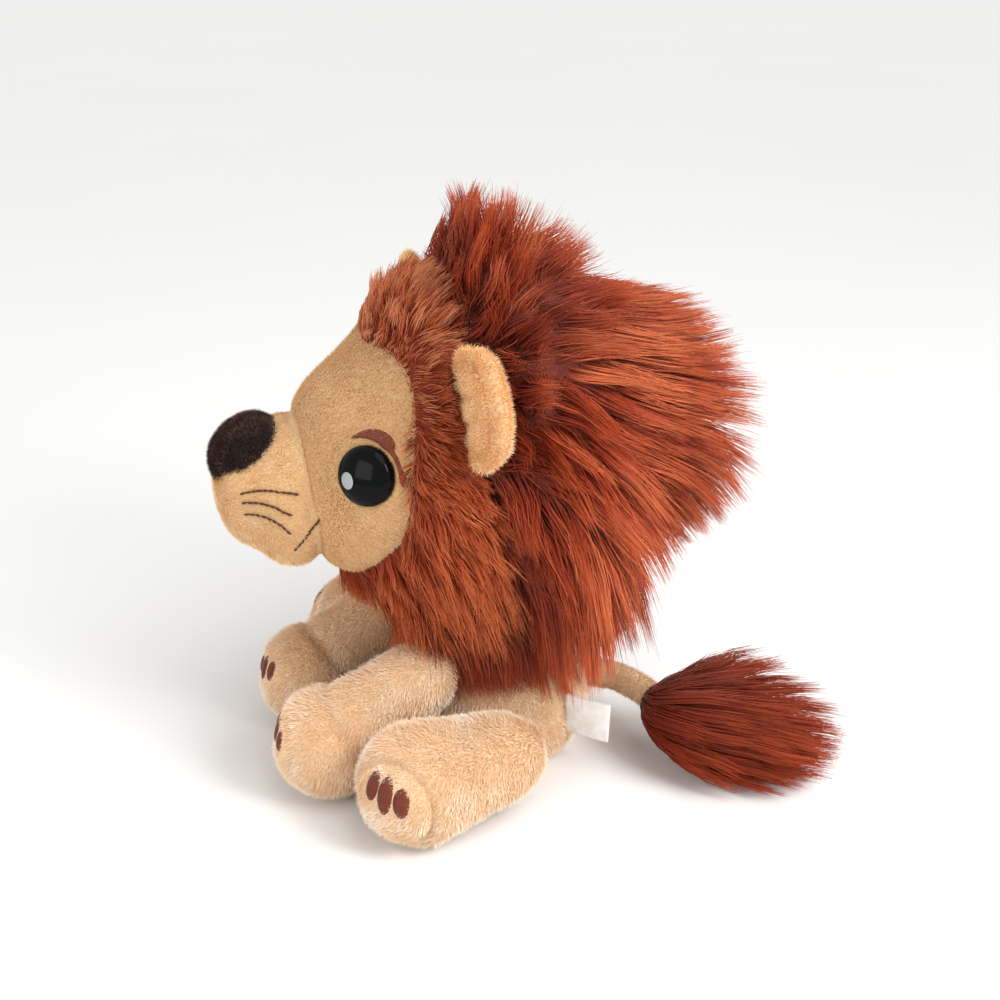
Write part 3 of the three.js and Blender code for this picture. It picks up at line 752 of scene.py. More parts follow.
@dataclass(frozen=True)
class Fibre(Finish):
    """Pile and thread that is modelled strand by strand."""

    name: str
    # root is painted shade deep in the pile and tip a painted glow; pale and dark follow tone, partly painted
    # highlight and shade
    root: Triple
    body: Triple
    tip: Triple
    pale: Triple
    dark: Triple
    reach: float = 0.5
    roughness: float = 0.6
    sheen: float = 0.05
    shine: float = 0.2

    def wire(self, wiring: Wiring) -> dict[str, object]:
        """The tint along each strand, read from its own map."""
        inputs = {"Map": wiring.out("ShaderNodeUVMap", uv_map="OFBake"), "Reach": self.reach}
        for label in ("Root", "Body", "Tip", "Pale", "Dark"):
            inputs[label] = colour(getattr(self, label.lower()))
        return {
            "Base Color": wiring.out("ShaderNodeGroup", inputs, node_tree=fibre_tint()),
            "Roughness": self.roughness,
            "Sheen Weight": self.sheen,
            "Specular IOR Level": self.shine,
        }


@dataclass(frozen=True)
class Gloss(Finish):
    """Moulded plastic, with the faint haze and marks of handling."""

    name: str
    tint: Triple
    roughness: float
    haze: float = 0.05
    shine: float = 0.5
    paler: float = 1.5

    def wire(self, wiring: Wiring) -> dict[str, object]:
        """A roughness that varies faintly, and a faint unevenness of the moulding."""
        place = wiring.add("ShaderNodeTexCoord").outputs["Object"]
        marks = wiring.noise(place, 240.0, 5.0)
        rough = wiring.ramp(marks, 0.4, 0.75, self.roughness, self.roughness + self.haze)
        waves = wiring.noise(place, 90.0, 1.0)
        light = colour(self.tint)
        worn = tuple(min(1.0, self.paler * part) for part in light)
        tint = wiring.blend(wiring.ramp(marks, 0.5, 0.8, 0.0, 0.35), light, worn)
        normal = wiring.out("ShaderNodeBump", {"Strength": 0.04, "Distance": 0.2 * MM, "Height": waves})
        return {"Base Color": tint, "Roughness": rough, "Normal": normal, "Specular IOR Level": self.shine}


@dataclass(frozen=True)
class Ribbon(Finish):
    """Woven label cloth, its threads crossing over and under."""

    name: str
    tint: Triple
    shade: Triple
    pitch: float = 0.45

    def wire(self, wiring: Wiring) -> dict[str, object]:
        """Two sets of threads as ridges, following the cloth's own map, with painted shade between them and in soft
        patches.
        """
        place = wiring.out("ShaderNodeUVMap", uv_map="Weave")
        scale = 1 / (self.pitch * MM)
        inputs = {"Vector": place, "Scale": scale / TURN * 2, "Distortion": 0.4}
        warp = wiring.add("ShaderNodeTexWave", inputs, bands_direction="X").outputs["Fac"]
        weft = wiring.add("ShaderNodeTexWave", inputs, bands_direction="Y").outputs["Fac"]
        height = wiring.math("MAXIMUM", warp, wiring.product(weft, 0.8))
        shade_noise = wiring.noise(place, 160.0, 2.0)
        # Painted shade: the shade colour shows where the threads dip and in soft patches; worn here is the share that
        # stays white
        worn = wiring.product(wiring.ramp(shade_noise, 0.35, 0.7), height)
        tint = wiring.blend(worn, colour(self.shade), colour(self.tint))
        normal = wiring.out("ShaderNodeBump", {"Strength": 0.35, "Distance": 0.15 * MM, "Height": height})
        return {"Base Color": tint, "Roughness": 0.6, "Sheen Weight": 0.3, "Normal": normal}


@dataclass(frozen=True)
class Tabletop(Finish):
    """A plain pale surface that the camera sees as white at its far end."""

    name: str = "Pale tabletop"
    shades: tuple[Triple, Triple] = ((238, 238, 237), (242, 242, 241))

    def wire(self, wiring: Wiring) -> dict[str, object]:
        """A colour that hardly varies."""
        place = wiring.add("ShaderNodeTexCoord").outputs["Object"]
        tint = wiring.blend(wiring.noise(place, 3.0, 2.0), *map(colour, self.shades))
        return {"Base Color": tint, "Roughness": 0.9}


# Plush skins: painted shade between fibres, the base, and lighter patches that are partly painted sheen
CREAM_SKIN = PlushSkin("Cream plush", (206, 164, 116), (242, 216, 176), (252, 240, 216))
FACE_SKIN = PlushSkin(
    "Tan face plush", (186, 142, 94), (222, 182, 130), (234, 200, 150), patch=34.0, grain=0.6, bump=0.4
)
MUZZLE_SKIN = PlushSkin(
    "Light tan muzzle plush", (196, 152, 102), (230, 194, 144), (240, 212, 168), patch=20.0, grain=0.6, bump=0.4
)
HOOD_SKIN = PlushSkin(
    "Rust hood backing", (112, 38, 16), (150, 58, 26), (170, 72, 34), patch=14.0, grain=0.9, bump=0.8, sheen=0.0
)
# The mane's inner sheet: its dark maroon is painted shade deep inside the hair
MANE_SHADE_SKIN = PlushSkin(
    "Maroon mane backing", (74, 22, 6), (122, 42, 14), (150, 58, 22), patch=12.0, grain=1.1, bump=0.8, sheen=0.0
)
CREAM_EAR = PlushSkin("Peach ear plush", (214, 166, 114), (246, 210, 160), (252, 228, 188), patch=20.0, grain=0.7)
NOSE_SKIN = PlushSkin(
    "Dark brown nose plush", (22, 12, 11), (54, 34, 30), (74, 50, 44), patch=6.0, grain=0.8, bump=0.8
)
# Fibres: a root darkened by painted shade, the body, a tip paled by a painted glow, then the pale and dark that tone
# brings
CREAM_PILE = Fibre("Cream pile", (220, 178, 134), (244, 217, 184), (252, 239, 220), (255, 248, 238), (233, 190, 148))
EAR_PILE = Fibre(
    "Peach ear pile", (226, 172, 114), (247, 205, 150), (252, 226, 184), (255, 242, 216), (238, 182, 124)
)
FACE_PILE = Fibre(
    "Tan face pile", (199, 152, 102), (223, 180, 128), (232, 195, 145), (243, 212, 168), (206, 160, 108)
)
MUZZLE_PILE = Fibre(
    "Light tan muzzle pile", (205, 160, 110), (231, 194, 144), (240, 210, 166), (250, 227, 193), (213, 169, 118)
)
HOOD_PILE = Fibre(
    "Rust hood pile", (126, 40, 15), (172, 70, 30), (204, 104, 56), (232, 154, 108), (144, 50, 19), reach=0.35
)
MANE_PILE = Fibre(
    "Long rust mane", (58, 12, 5), (155, 52, 22), (190, 80, 41), (216, 114, 68), (80, 19, 8), 0.4, roughness=0.45
)
TUFT_PILE = Fibre(
    "Rust tail tuft", (52, 10, 4), (138, 43, 17), (170, 66, 32), (192, 90, 50), (70, 15, 6), 0.4, roughness=0.45
)
NOSE_PILE = Fibre("Dark brown nose pile", (20, 12, 10), (48, 31, 26), (72, 50, 43), (98, 72, 62), (28, 17, 14))
BROWN_THREAD = Fibre(
    "Brown satin thread", (92, 34, 14), (110, 42, 18), (110, 42, 18), (132, 56, 26), (84, 30, 12), 0.3, 0.45, 0.1, 0.3
)
DARK_THREAD = Fibre(
    "Dark brown stitching", (54, 28, 15), (76, 42, 23), (78, 44, 25), (94, 58, 36), (50, 27, 15), 0.3, roughness=0.55
)
SEWING = Gloss("Pale sewing thread", (224, 218, 206), roughness=0.7)
EYE_GLOSS = Gloss("Glossy black eye", (7, 8, 9), roughness=0.1, shine=0.08)
EYE_PRINT = Gloss("Pale print on the eye", (150, 157, 158), roughness=0.35)
WASHER_PLASTIC = Gloss("Pale washer plastic", (228, 228, 224), roughness=0.5)
# White label cloth, with painted shade in its thread valleys
LABEL_CLOTH = Ribbon("White label cloth", (247, 246, 243), (222, 219, 213))


def finish_tree(wire: Wiring, geometry: Socket, material: Socket) -> None:
    """Ends a tree: every strand's tone and length become its map, and its material is set.

    Args:
        wire: The tree's wiring.
        geometry: The strands.
        material: Their material.
    """
    real = wire.out("GeometryNodeRealizeInstances", {"Geometry": geometry})
    tone, along = wire.kept("tone"), wire.kept("along")
    parts = wire.add("ShaderNodeSeparateXYZ", {0: wire.kept("around", "FLOAT_VECTOR")})
    span, edge, strand = 0.94, 0.03, 0.01
    across = wire.math("MULTIPLY_ADD", parts.outputs[0], strand, wire.math("MULTIPLY_ADD", tone, span, edge))
    upward = wire.math("MULTIPLY_ADD", parts.outputs[1], strand, wire.math("MULTIPLY_ADD", along, span, edge))
    place = wire.out("ShaderNodeCombineXYZ", {0: across, 1: upward})
    mapped = wire.keep(real, "OFBake", place, "FLOAT2", "CORNER")
    for name in ("tone", "along", "around", "thick"):
        mapped = wire.out("GeometryNodeRemoveAttribute", {"Geometry": mapped, "Name": name})
    dressed = wire.out("GeometryNodeSetMaterial", {"Geometry": mapped, "Material": material})
    wire.add("NodeGroupOutput", {"Geometry": dressed})


@cache
def thickening() -> NodeTree:
    """The tree that turns thin paths into solid strands that taper."""
    sockets = {"Geometry": "Geometry", "Int": "Sides", "Material": "Material", "to_Geometry": "Geometry"}
    tree, wire, put = new_group("Strands from paths", "Geometry", **sockets)
    curves = wire.out("GeometryNodeMeshToCurve", {"Mesh": put["Geometry"]})
    ring = wire.out("GeometryNodeCurvePrimitiveCircle", {"Resolution": put["Sides"], "Radius": 1.0}, mode="RADIUS")
    profile = wire.keep(ring, "around", wire.out("GeometryNodeInputPosition"), "FLOAT_VECTOR")
    inputs = {"Curve": curves, "Profile Curve": profile, "Scale": wire.kept("thick"), "Fill Caps": True}
    finish_tree(wire, wire.out("GeometryNodeCurveToMesh", inputs), put["Material"])
    return tree


@cache
def short_pile() -> NodeTree:
    """The tree that plants short leaning hairs all over a skin."""
    sockets = {"Geometry": "Geometry", "Float": "Density, Length, Thickness, Lean, Spread, Bend, Tuft size"}
    sockets |= {"Int": "Joints, Seed", "Material": "Material", "to_Geometry": "Geometry"}
    tree, wire, put = new_group("Short pile", "Geometry", **sockets)
    cover, rise, comb = wire.kept("cover"), wire.kept("rise"), wire.kept("comb", "FLOAT_VECTOR")
    inputs = {"Mesh": put["Geometry"], "Density": wire.product(put["Density"], cover), "Seed": put["Seed"]}
    points = wire.add("GeometryNodeDistributePointsOnFaces", inputs)
    inputs = {0: (-1.0, -1.0, -1.0), 1: (1.0, 1.0, 1.0), "Seed": put["Seed"]}
    stray = wire.out("FunctionNodeRandomValue", inputs, data_type="FLOAT_VECTOR")
    place = wire.out("GeometryNodeInputPosition")
    per_tuft = wire.math("DIVIDE", 1.0, put["Tuft size"])
    swirl = wire.add("ShaderNodeTexNoise", {"Vector": place, "Scale": per_tuft, "Detail": 1.0})
    inputs = {0: swirl.outputs["Color"], 1: (0.5, 0.5, 0.5)}
    swirled = wire.out("ShaderNodeVectorMath", inputs, operation="SUBTRACT")
    way = points.outputs["Normal"]
    for vector, weight in ((comb, put["Lean"]), (stray, put["Spread"]), (swirled, 1.6)):
        part = wire.out("ShaderNodeVectorMath", {0: vector, "Scale": weight}, operation="SCALE")
        way = wire.out("ShaderNodeVectorMath", {0: way, 1: part}, operation="ADD")
    turn = wire.out("FunctionNodeAlignRotationToVector", {"Vector": way}, axis="Z")
    inputs = {2: 0.0, 3: 1.0, "Seed": wire.math("ADD", put["Seed"], 7)}
    chance = wire.out("FunctionNodeRandomValue", inputs, data_type="FLOAT")
    length = wire.product(wire.product(put["Length"], rise), wire.math("MULTIPLY_ADD", chance, 0.5, 0.65))
    size = wire.out("ShaderNodeCombineXYZ", {0: put["Thickness"], 1: put["Thickness"], 2: length})
    inputs = {"Vertices": 3, "Side Segments": put["Joints"], "Radius Top": 0.0, "Radius Bottom": 1.0, "Depth": 1.0}
    cone = wire.out("GeometryNodeMeshCone", inputs, fill_type="NGON")
    marked = wire.keep(cone, "around", place, "FLOAT_VECTOR")
    height = wire.add("ShaderNodeSeparateXYZ", {0: place}).outputs[2]
    marked = wire.keep(marked, "along", height)
    shift = wire.out("ShaderNodeCombineXYZ", {0: wire.product(height, height, put["Bend"])})
    bent = wire.out("GeometryNodeSetPosition", {"Geometry": marked, "Offset": shift})
    uneven = wire.ramp(wire.noise(place, wire.product(per_tuft, 0.5), 3.0), 0.35, 0.65)
    tone = wire.math("ADD", wire.product(uneven, 0.6), wire.product(chance, 0.4))
    toned = wire.keep(points.outputs["Points"], "tone", tone)
    inputs = {"Points": toned, "Instance": bent, "Rotation": turn, "Scale": size}
    finish_tree(wire, wire.out("GeometryNodeInstanceOnPoints", inputs), put["Material"])
    return tree


def grow(obj: Object, tree: NodeTree, inputs: dict[str, object]) -> None:
    """Runs a node tree on an object and keeps the result as its plain mesh.

    Args:
        obj: The object.
        tree: The tree.
        inputs: Values of the tree's inputs by name.
    """
    modifier = obj.modifiers.new(tree.name, "NODES")
    modifier.node_group = tree
    for item in tree.interface.items_tree:
        if item.item_type == "SOCKET" and item.in_out == "INPUT" and item.name in inputs:
            modifier[item.identifier] = inputs[item.name]
    obj.update_tag()
    settle(obj)
    obj.data.polygons.foreach_set("material_index", np.zeros(len(obj.data.polygons), np.int32))
    obj.data.materials.clear()
    obj.data.materials.append(inputs["Material"])
    for uv in obj.data.uv_layers:
        uv.active = uv.active_render = uv.name == "OFBake"


@dataclass(frozen=True)
class Pile:
    """Short pile on a skin: hairs for each square millimetre, their size, and how they lie."""

    density: float
    length: float
    thickness: float = 0.17
    lean: float = 0.8
    spread: float = 0.35
    bend: float = 0.35
    tuft: float = 7.0
    joints: int = 1
    seed: int = 1
    level: float = -0.3

    def plant(
        self,
        skin: Object,
        name: str,
        finish: Finish,
        comb: Array,
        cover: Array | None = None,
        rise: Array | None = None,
    ) -> Object:
        """Grows the pile.

        Args:
            skin: The skin that it stands on.
            name: The pile's name.
            finish: Its finish.
            comb: The way that it is combed at every point of the skin.
            cover: How much of it stands at every point, from 0 to 1.
            rise: Its length at every point beside the whole length.

        Returns:
            The pile.
        """
        pile = linked(name, skin.data.copy())
        whole = np.ones(len(pile.data.vertices))
        keep(pile, "comb", np.broadcast_to(comb, (len(whole), 3)))
        keep(pile, "cover", whole if cover is None else cover)
        keep(pile, "rise", whole if rise is None else rise)
        inputs = {"Density": self.density / MM**2, "Length": self.length * MM, "Thickness": self.thickness * MM}
        inputs |= {"Lean": self.lean, "Spread": self.spread, "Bend": self.bend, "Tuft size": self.tuft * MM}
        inputs |= {"Joints": self.joints, "Seed": self.seed, "Material": finish.material()}
        grow(pile, short_pile(), inputs)
        rest_flat(pile, self.level)
        return pile


@dataclass
class Strands:
    """Long hairs or threads, as paths by strand and by knot, each with a tone from 0 to 1."""

    paths: Array
    tones: Array
    thick: float = 0.28
    end: float = 0.2
    sides: int = 3
    swell: Array | None = None

    def to_object(self, name: str, finish: Finish) -> Object:
        """Makes the strands solid.

        Args:
            name: The piece's name.
            finish: Its finish.

        Returns:
            The piece.
        """
        count, knots = self.paths.shape[:2]
        along = np.linspace(0, 1, knots)
        thin = self.end + (1 - self.end) * (1 - along**1.6) if self.swell is None else self.swell
        starts = (np.arange(count)[:, None] * knots + np.arange(knots - 1)).ravel()
        mesh = bpy.data.meshes.new(name)
        mesh.vertices.add(count * knots)
        mesh.vertices.foreach_set("co", (self.paths * MM).astype(np.float32).ravel())
        mesh.edges.add(len(starts))
        mesh.edges.foreach_set("vertices", np.stack((starts, starts + 1), -1).ravel().astype(np.int32))
        obj = linked(name, mesh)
        keep(obj, "along", np.tile(along, count))
        keep(obj, "thick", np.tile(thin * self.thick * MM, count))
        keep(obj, "tone", np.repeat(np.clip(self.tones, 0, 1), knots))
        grow(obj, thickening(), {"Sides": self.sides, "Material": finish.material()})
        obj.data.shade_smooth()
        return obj


def lie(obj: Object, way: Array) -> Array:
    """The way that pile lies when it is combed.

    Args:
        obj: The skin.
        way: The comb's direction, one for all or one for each point.

    Returns:
        A direction along the skin for every point.
    """
    return beside(way, normals_of(obj))


def bezier(a: Array, b: Array, c: Array, d: Array, knots: int, start: float = 0.0) -> Array:
    """Curves from a to d, drawn towards b and c on the way.

    Args:
        a: Where each starts.
        b: What draws its start.
        c: What draws its end.
        d: Where it ends.
        knots: Points along each.
        start: The share of the way at which each begins.

    Returns:
        Points by curve and by knot.
    """
    t = np.linspace(start, 1, knots)[None, :, None]
    a, b, c, d = (part[:, None] for part in (a, b, c, d))
    return (1 - t) ** 3 * a + 3 * (1 - t) ** 2 * t * b + 3 * (1 - t) * t**2 * c + t**3 * d


def cut(paths: Array, share: Array) -> Array:
    """Paths drawn in to a share of their size, one share for each."""
    return paths[:, :1] + (paths - paths[:, :1]) * share[:, None, None]


def nearest(points: Array, centres: Array) -> Array:
    """The number of the centre nearest to each point."""
    tree = KDTree(len(centres))
    for n, centre in enumerate(centres):
        tree.insert(Vector(centre), n)
    tree.balance()
    return np.array([tree.find(Vector(point))[1] for point in points])


@dataclass(frozen=True)
class Locks:
    """How hairs gather into pointed locks."""

    count: int
    clump: float
    stray: float
    wave: float
    lock_tone: float = 0.14
    hair_tone: float = 0.12
    stray_pull: float = 0.15
    most_pull: float = 0.96
    turns: float = 1.1

    def tones(self, base: Array | float, member: Array, rng: Chance) -> Array:
        """Tones round a base, with chance for every lock and for every hair."""
        lock = rng.normal(0, self.lock_tone, self.count)
        return base + lock[member] + rng.normal(0, self.hair_tone, len(member))

    def gather(self, own: Array, centre: Array, member: Array, rng: Chance) -> Array:
        """Draws every hair towards the middle of its lock.

        Args:
            own: The hairs' own paths.
            centre: The paths of the locks.
            member: The lock of each hair.
            rng: Where chance comes from.

        Returns:
            The hairs' paths.
        """
        knots = own.shape[1]
        t = np.linspace(0, 1, knots)[None, :, None]
        loose = np.where(rng.random(len(own)) < self.stray, self.stray_pull, 1.0)[:, None, None]
        pull = self.clump * smooth(t * 1.15) * loose * rng.uniform(0.8, 1.1, len(own))[:, None, None]
        paths = mix(own, centre[member], np.minimum(pull, self.most_pull))
        way = unit(centre[:, -1] - centre[:, 0])
        side = unit(np.cross(way, UP) + 1e-6)
        phase = rng.uniform(0, TURN, len(centre))
        swing = np.sin(TURN * self.turns * t[..., 0] + phase[:, None]) - np.sin(phase)[:, None]
        return paths + (self.wave * swing * t[..., 0])[member][..., None] * side[member][:, None]


@dataclass(frozen=True)
class Torso:
    """The stuffed body: a flat seat, a belly, a chest and a round shoulder dome."""

    radii: tuple[float, ...] = (39.0, 46.0, 38.0, 32.0)
    heights: tuple[float, ...] = (0.0, 19.0, 46.0, 66.0)
    mouth: float = 11.0
    covered: float = 72.0
    seat: float = 6.0
    seam: float = 2.4
    pile: Pile = Pile(1.5, 3.2, 0.18, seed=11)

    def profile(self, count: int) -> Array:
        """Radius and height at points from the seat to the shoulders."""
        return eased(np.array(list(zip(self.radii, self.heights))), np.linspace(0, 1, count))

    def radius(self, height: Array) -> Array:
        """The body's radius at a height, and none above its top."""
        side = self.profile(60)
        dome = np.sqrt(np.maximum(self.radii[-1] ** 2 - (height - self.heights[-1]) ** 2, 0))
        return np.where(height > self.heights[-1], dome, np.interp(height, side[:, 1], side[:, 0]))

    def clear(self, points: Array, room: float) -> Array:
        """Points moved out where they come nearer to the body than the room."""
        flat = lengths(points[..., :2])
        full = self.radius(points[..., 2])
        wanted = np.where(full > 1, full + room, 0)
        scale = np.maximum(1, wanted / np.maximum(flat, 1))
        return np.concatenate((points[..., :2] * scale[..., None], points[..., 2:]), -1)

    def build(self, legs: list["Leg"]) -> None:
        """Makes the skin and its pile.

        Args:
            legs: The legs that are sewn on it.
        """
        side = self.profile(20)
        turn = np.linspace(0, math.acos(self.mouth / self.radii[-1]), 8)[1:]
        dome = np.stack((self.radii[-1] * np.cos(turn), self.heights[-1] + self.radii[-1] * np.sin(turn)), -1)
        outline = np.vstack((side, dome))
        angles = round_turn(64)
        rings = np.stack((outline[:, :1] * np.cos(angles), outline[:, :1] * np.sin(angles)), -1)
        rings = np.concatenate((rings, np.broadcast_to(outline[:, 1:, None], (*rings.shape[:2], 1))), -1)
        poles = (np.zeros(3), UP * outline[-1, 1])
        skin = Shape.wrapped(rings, poles).to_object("torso_skin")

        def near_legs(points: Array) -> Array:
            """How near the points are to a sewn leg, from 0 to 1."""
            found = np.zeros(len(points))
            for leg in legs:
                for sign in (1, -1):
                    joint = np.array(leg.joint) * (1, sign, 1)
                    found = np.maximum(found, fading(lengths(points - joint) - leg.ball - 2, 6))
            return found

        def held(points: Array) -> Array:
            """The seat, the shoulders, the side seams and the legs' roots hold the skin."""
            ends = (points[:, 2] < self.seat) | (points[:, 2] > self.covered)
            ends |= np.abs(points[:, 0]) < self.seam
            return np.maximum(ends, near_legs(points))

        Stuffing().fill(skin, held)
        press(skin, np.abs(places_of(skin)[:, 0]), 0.9, self.seam)
        rest_flat(skin)
        CREAM_SKIN.dress(skin)
        points = places_of(skin)
        cover = ((points[:, 2] > 3) & (points[:, 2] < self.covered)) * (1 - near_legs(points) * 0.9)
        rise = 0.55 + 0.45 * smooth(np.abs(points[:, 0]) / 4)
        pile = self.pile.plant(skin, "torso_pile", CREAM_PILE, lie(skin, -UP), cover, rise)
        ride(skin, "torso", ("torso_shell", "torso_filling", "pellet_bag"))
        ride(pile, "torso")


@dataclass(frozen=True)
class Leg:
    """A leg: a sewn root, a limb and a round foot pressed flat on the table."""

    limb: Limb
    joint: Triple
    foot_at: Triple
    ball: float
    shin: float
    foot: float
    pad_turn: float
    pad_share: float
    sole_angle: float
    crease_at: float
    sunk: float = 9.0
    pad_long: float = 6.0
    pad_wide: float = 3.2
    pad_spread: float = 18.0
    pad_lift: float = 18.0
    pad_tilt: float = 4.0
    pitch: float = 0.42
    thread: float = 0.29
    body_room: float = 46.0
    pile: Pile = Pile(1.8, 3.1, 0.18, seed=21)

    def pad_ways(self) -> list[tuple[Array, float]]:
        """The direction of every pad from the foot's middle, and its length beside its width."""
        found = []
        for n in range(3):
            lift = math.radians(self.pad_lift + self.pad_tilt * (1 - n))
            way = heading(self.pad_turn + (n - 1) * self.pad_spread) * math.cos(lift)
            way[2] = math.sin(lift)
            found.append((way, 1.3 if n == 1 else 1.0))
        return found

    def build(self) -> None:
        """Makes both legs with their pile and their pads."""
        joint, foot_at = np.array(self.joint), np.array(self.foot_at)
        stations = [
            (joint, self.ball + 1.5, self.ball + 1.5),
            ((joint + foot_at) / 2, self.shin, self.shin),
            (foot_at, self.foot, self.foot),
        ]
        form = StuffedForm(stations, (self.ball + self.sunk, self.foot))
        name = self.limb.value
        skin = form.skin(40, 14, 9).to_object(f"{name}_leg_skin")

        def held(points: Array) -> Array:
            """The sole and the sewn root hold the skin."""
            root = fading(lengths(points - joint) - self.ball * 0.6, 8)
            inside = lengths(points[:, :2]) < self.body_room
            return np.maximum.reduce((root, (points[:, 2] < 3) * 1.0, inside * 1.0))

        Stuffing(most=1.5).fill(skin, held)
        facing = heading(self.pad_turn)
        points = places_of(skin)
        from_foot = points - foot_at
        if self.sole_angle:
            turned = np.degrees(np.arccos(np.clip(unit(from_foot) @ facing, -1, 1)))
            from_rim = np.abs(turned - self.sole_angle)
            away = np.where(lengths(from_foot) > self.foot * 0.85, from_rim, 90)
            press(skin, np.radians(away) * self.foot, 2.6, 2.8)
        if self.crease_at:
            axis = unit(foot_at - joint)
            away = np.abs((points - foot_at) @ axis + self.crease_at)
            press(skin, away, 1.8, 3.0)
        rest_flat(skin)
        CREAM_SKIN.dress(skin)
        points = places_of(skin)
        surface = Surface(skin)
        cover = (points[:, 2] > 2.5) * 1.0
        rise = np.ones(len(points))
        for way, _ in self.pad_ways():
            from_pad = lengths(points - foot_at - way * self.foot)
            cover *= from_pad > 2.2
            rise *= 0.35 + 0.65 * smooth((from_pad - 3) / 7)
        if self.sole_angle:
            rise *= 0.3 + 0.7 * smooth(np.radians(from_rim) * self.foot / 4)
        comb = lie(skin, unit(foot_at - joint) - UP * 0.4)
        pile = self.pile.plant(skin, f"{name}_leg_pile", CREAM_PILE, comb, cover, rise)
        body = f"{name}_leg_*"
        nodes = (f"{name}_leg_shell_*", f"{name}_leg_filling_*")
        ride_both(skin, f"{name}_leg_skin", body, nodes)
        ride_both(pile, f"{name}_leg_pile", body)
        for n, (way, share) in enumerate(self.pad_ways(), 1):
            pad = self.satin(way, share, foot_at, surface).to_object(f"{name}_toes_{n}", BROWN_THREAD)
            ride_both(pad, f"{name}_toes_{n}", body, (f"{name}_pad_{n}_*",))

    def satin(self, way: Array, share: float, foot_at: Array, surface: Surface) -> Strands:
        """The satin stitches of one pad.

        Args:
            way: The pad's direction from the foot's middle.
            share: Its length beside its width.
            foot_at: The foot's middle.
            surface: The foot's skin.

        Returns:
            Its threads.
        """
        wide, long = self.pad_share * self.pad_wide, self.pad_share * share * self.pad_long
        across = unit(np.cross(UP, way))
        upward = np.cross(way, across)
        rows = np.arange(-long + self.pitch / 2, long, self.pitch)
        rng = np.random.default_rng(len(rows))
        halves = wide * np.sqrt(1 - (rows / long) ** 2) + 0.15
        spots = np.linspace(-1, 1, 7)
        x = spots[None] * halves[:, None]
        z = np.broadcast_to(rows[:, None], x.shape) + rng.normal(0, 0.05, (len(rows), 1)) * spots
        points = foot_at + way * self.foot + x[..., None] * across + z[..., None] * upward
        flat = surface.drop(points.reshape(-1, 3), -way)
        swell = np.sqrt(np.maximum(1 - spots[None] ** 2, 0)) * np.sqrt(1 - (rows[:, None] / long) ** 2 * 0.8)
        raised = flat.reshape(*x.shape, 3) + (swell - 0.1)[..., None] * way
        return Strands(raised, rng.uniform(0.2, 0.8, len(rows)), self.thread, end=0.85, sides=5)


def clear_of_legs(points: Array, legs: list[Leg], room: float) -> Array:
    """Points moved out where they come nearer to a leg than the room.

    Args:
        points: The points.
        legs: The left legs, which count on both sides.
        room: The room.

    Returns:
        The moved points.
    """
    mirrored = points.copy()
    side = np.where(points[..., 1] > 0, -1, 1)
    mirrored[..., 1] *= side
    for leg in legs:
        start, end = np.array(leg.joint), np.array(leg.foot_at)
        way = end - start
        share = np.clip((mirrored - start) @ way / (way @ way), 0, 1)[..., None]
        axis = start + way * share
        full = mix(leg.ball, leg.foot, share) + room
        away = mirrored - axis
        far = np.maximum(np.linalg.norm(away, axis=-1, keepdims=True), 0.1)
        mirrored = np.where(far < full, axis + away / far * full, mirrored)
    mirrored[..., 1] *= side
    return mirrored


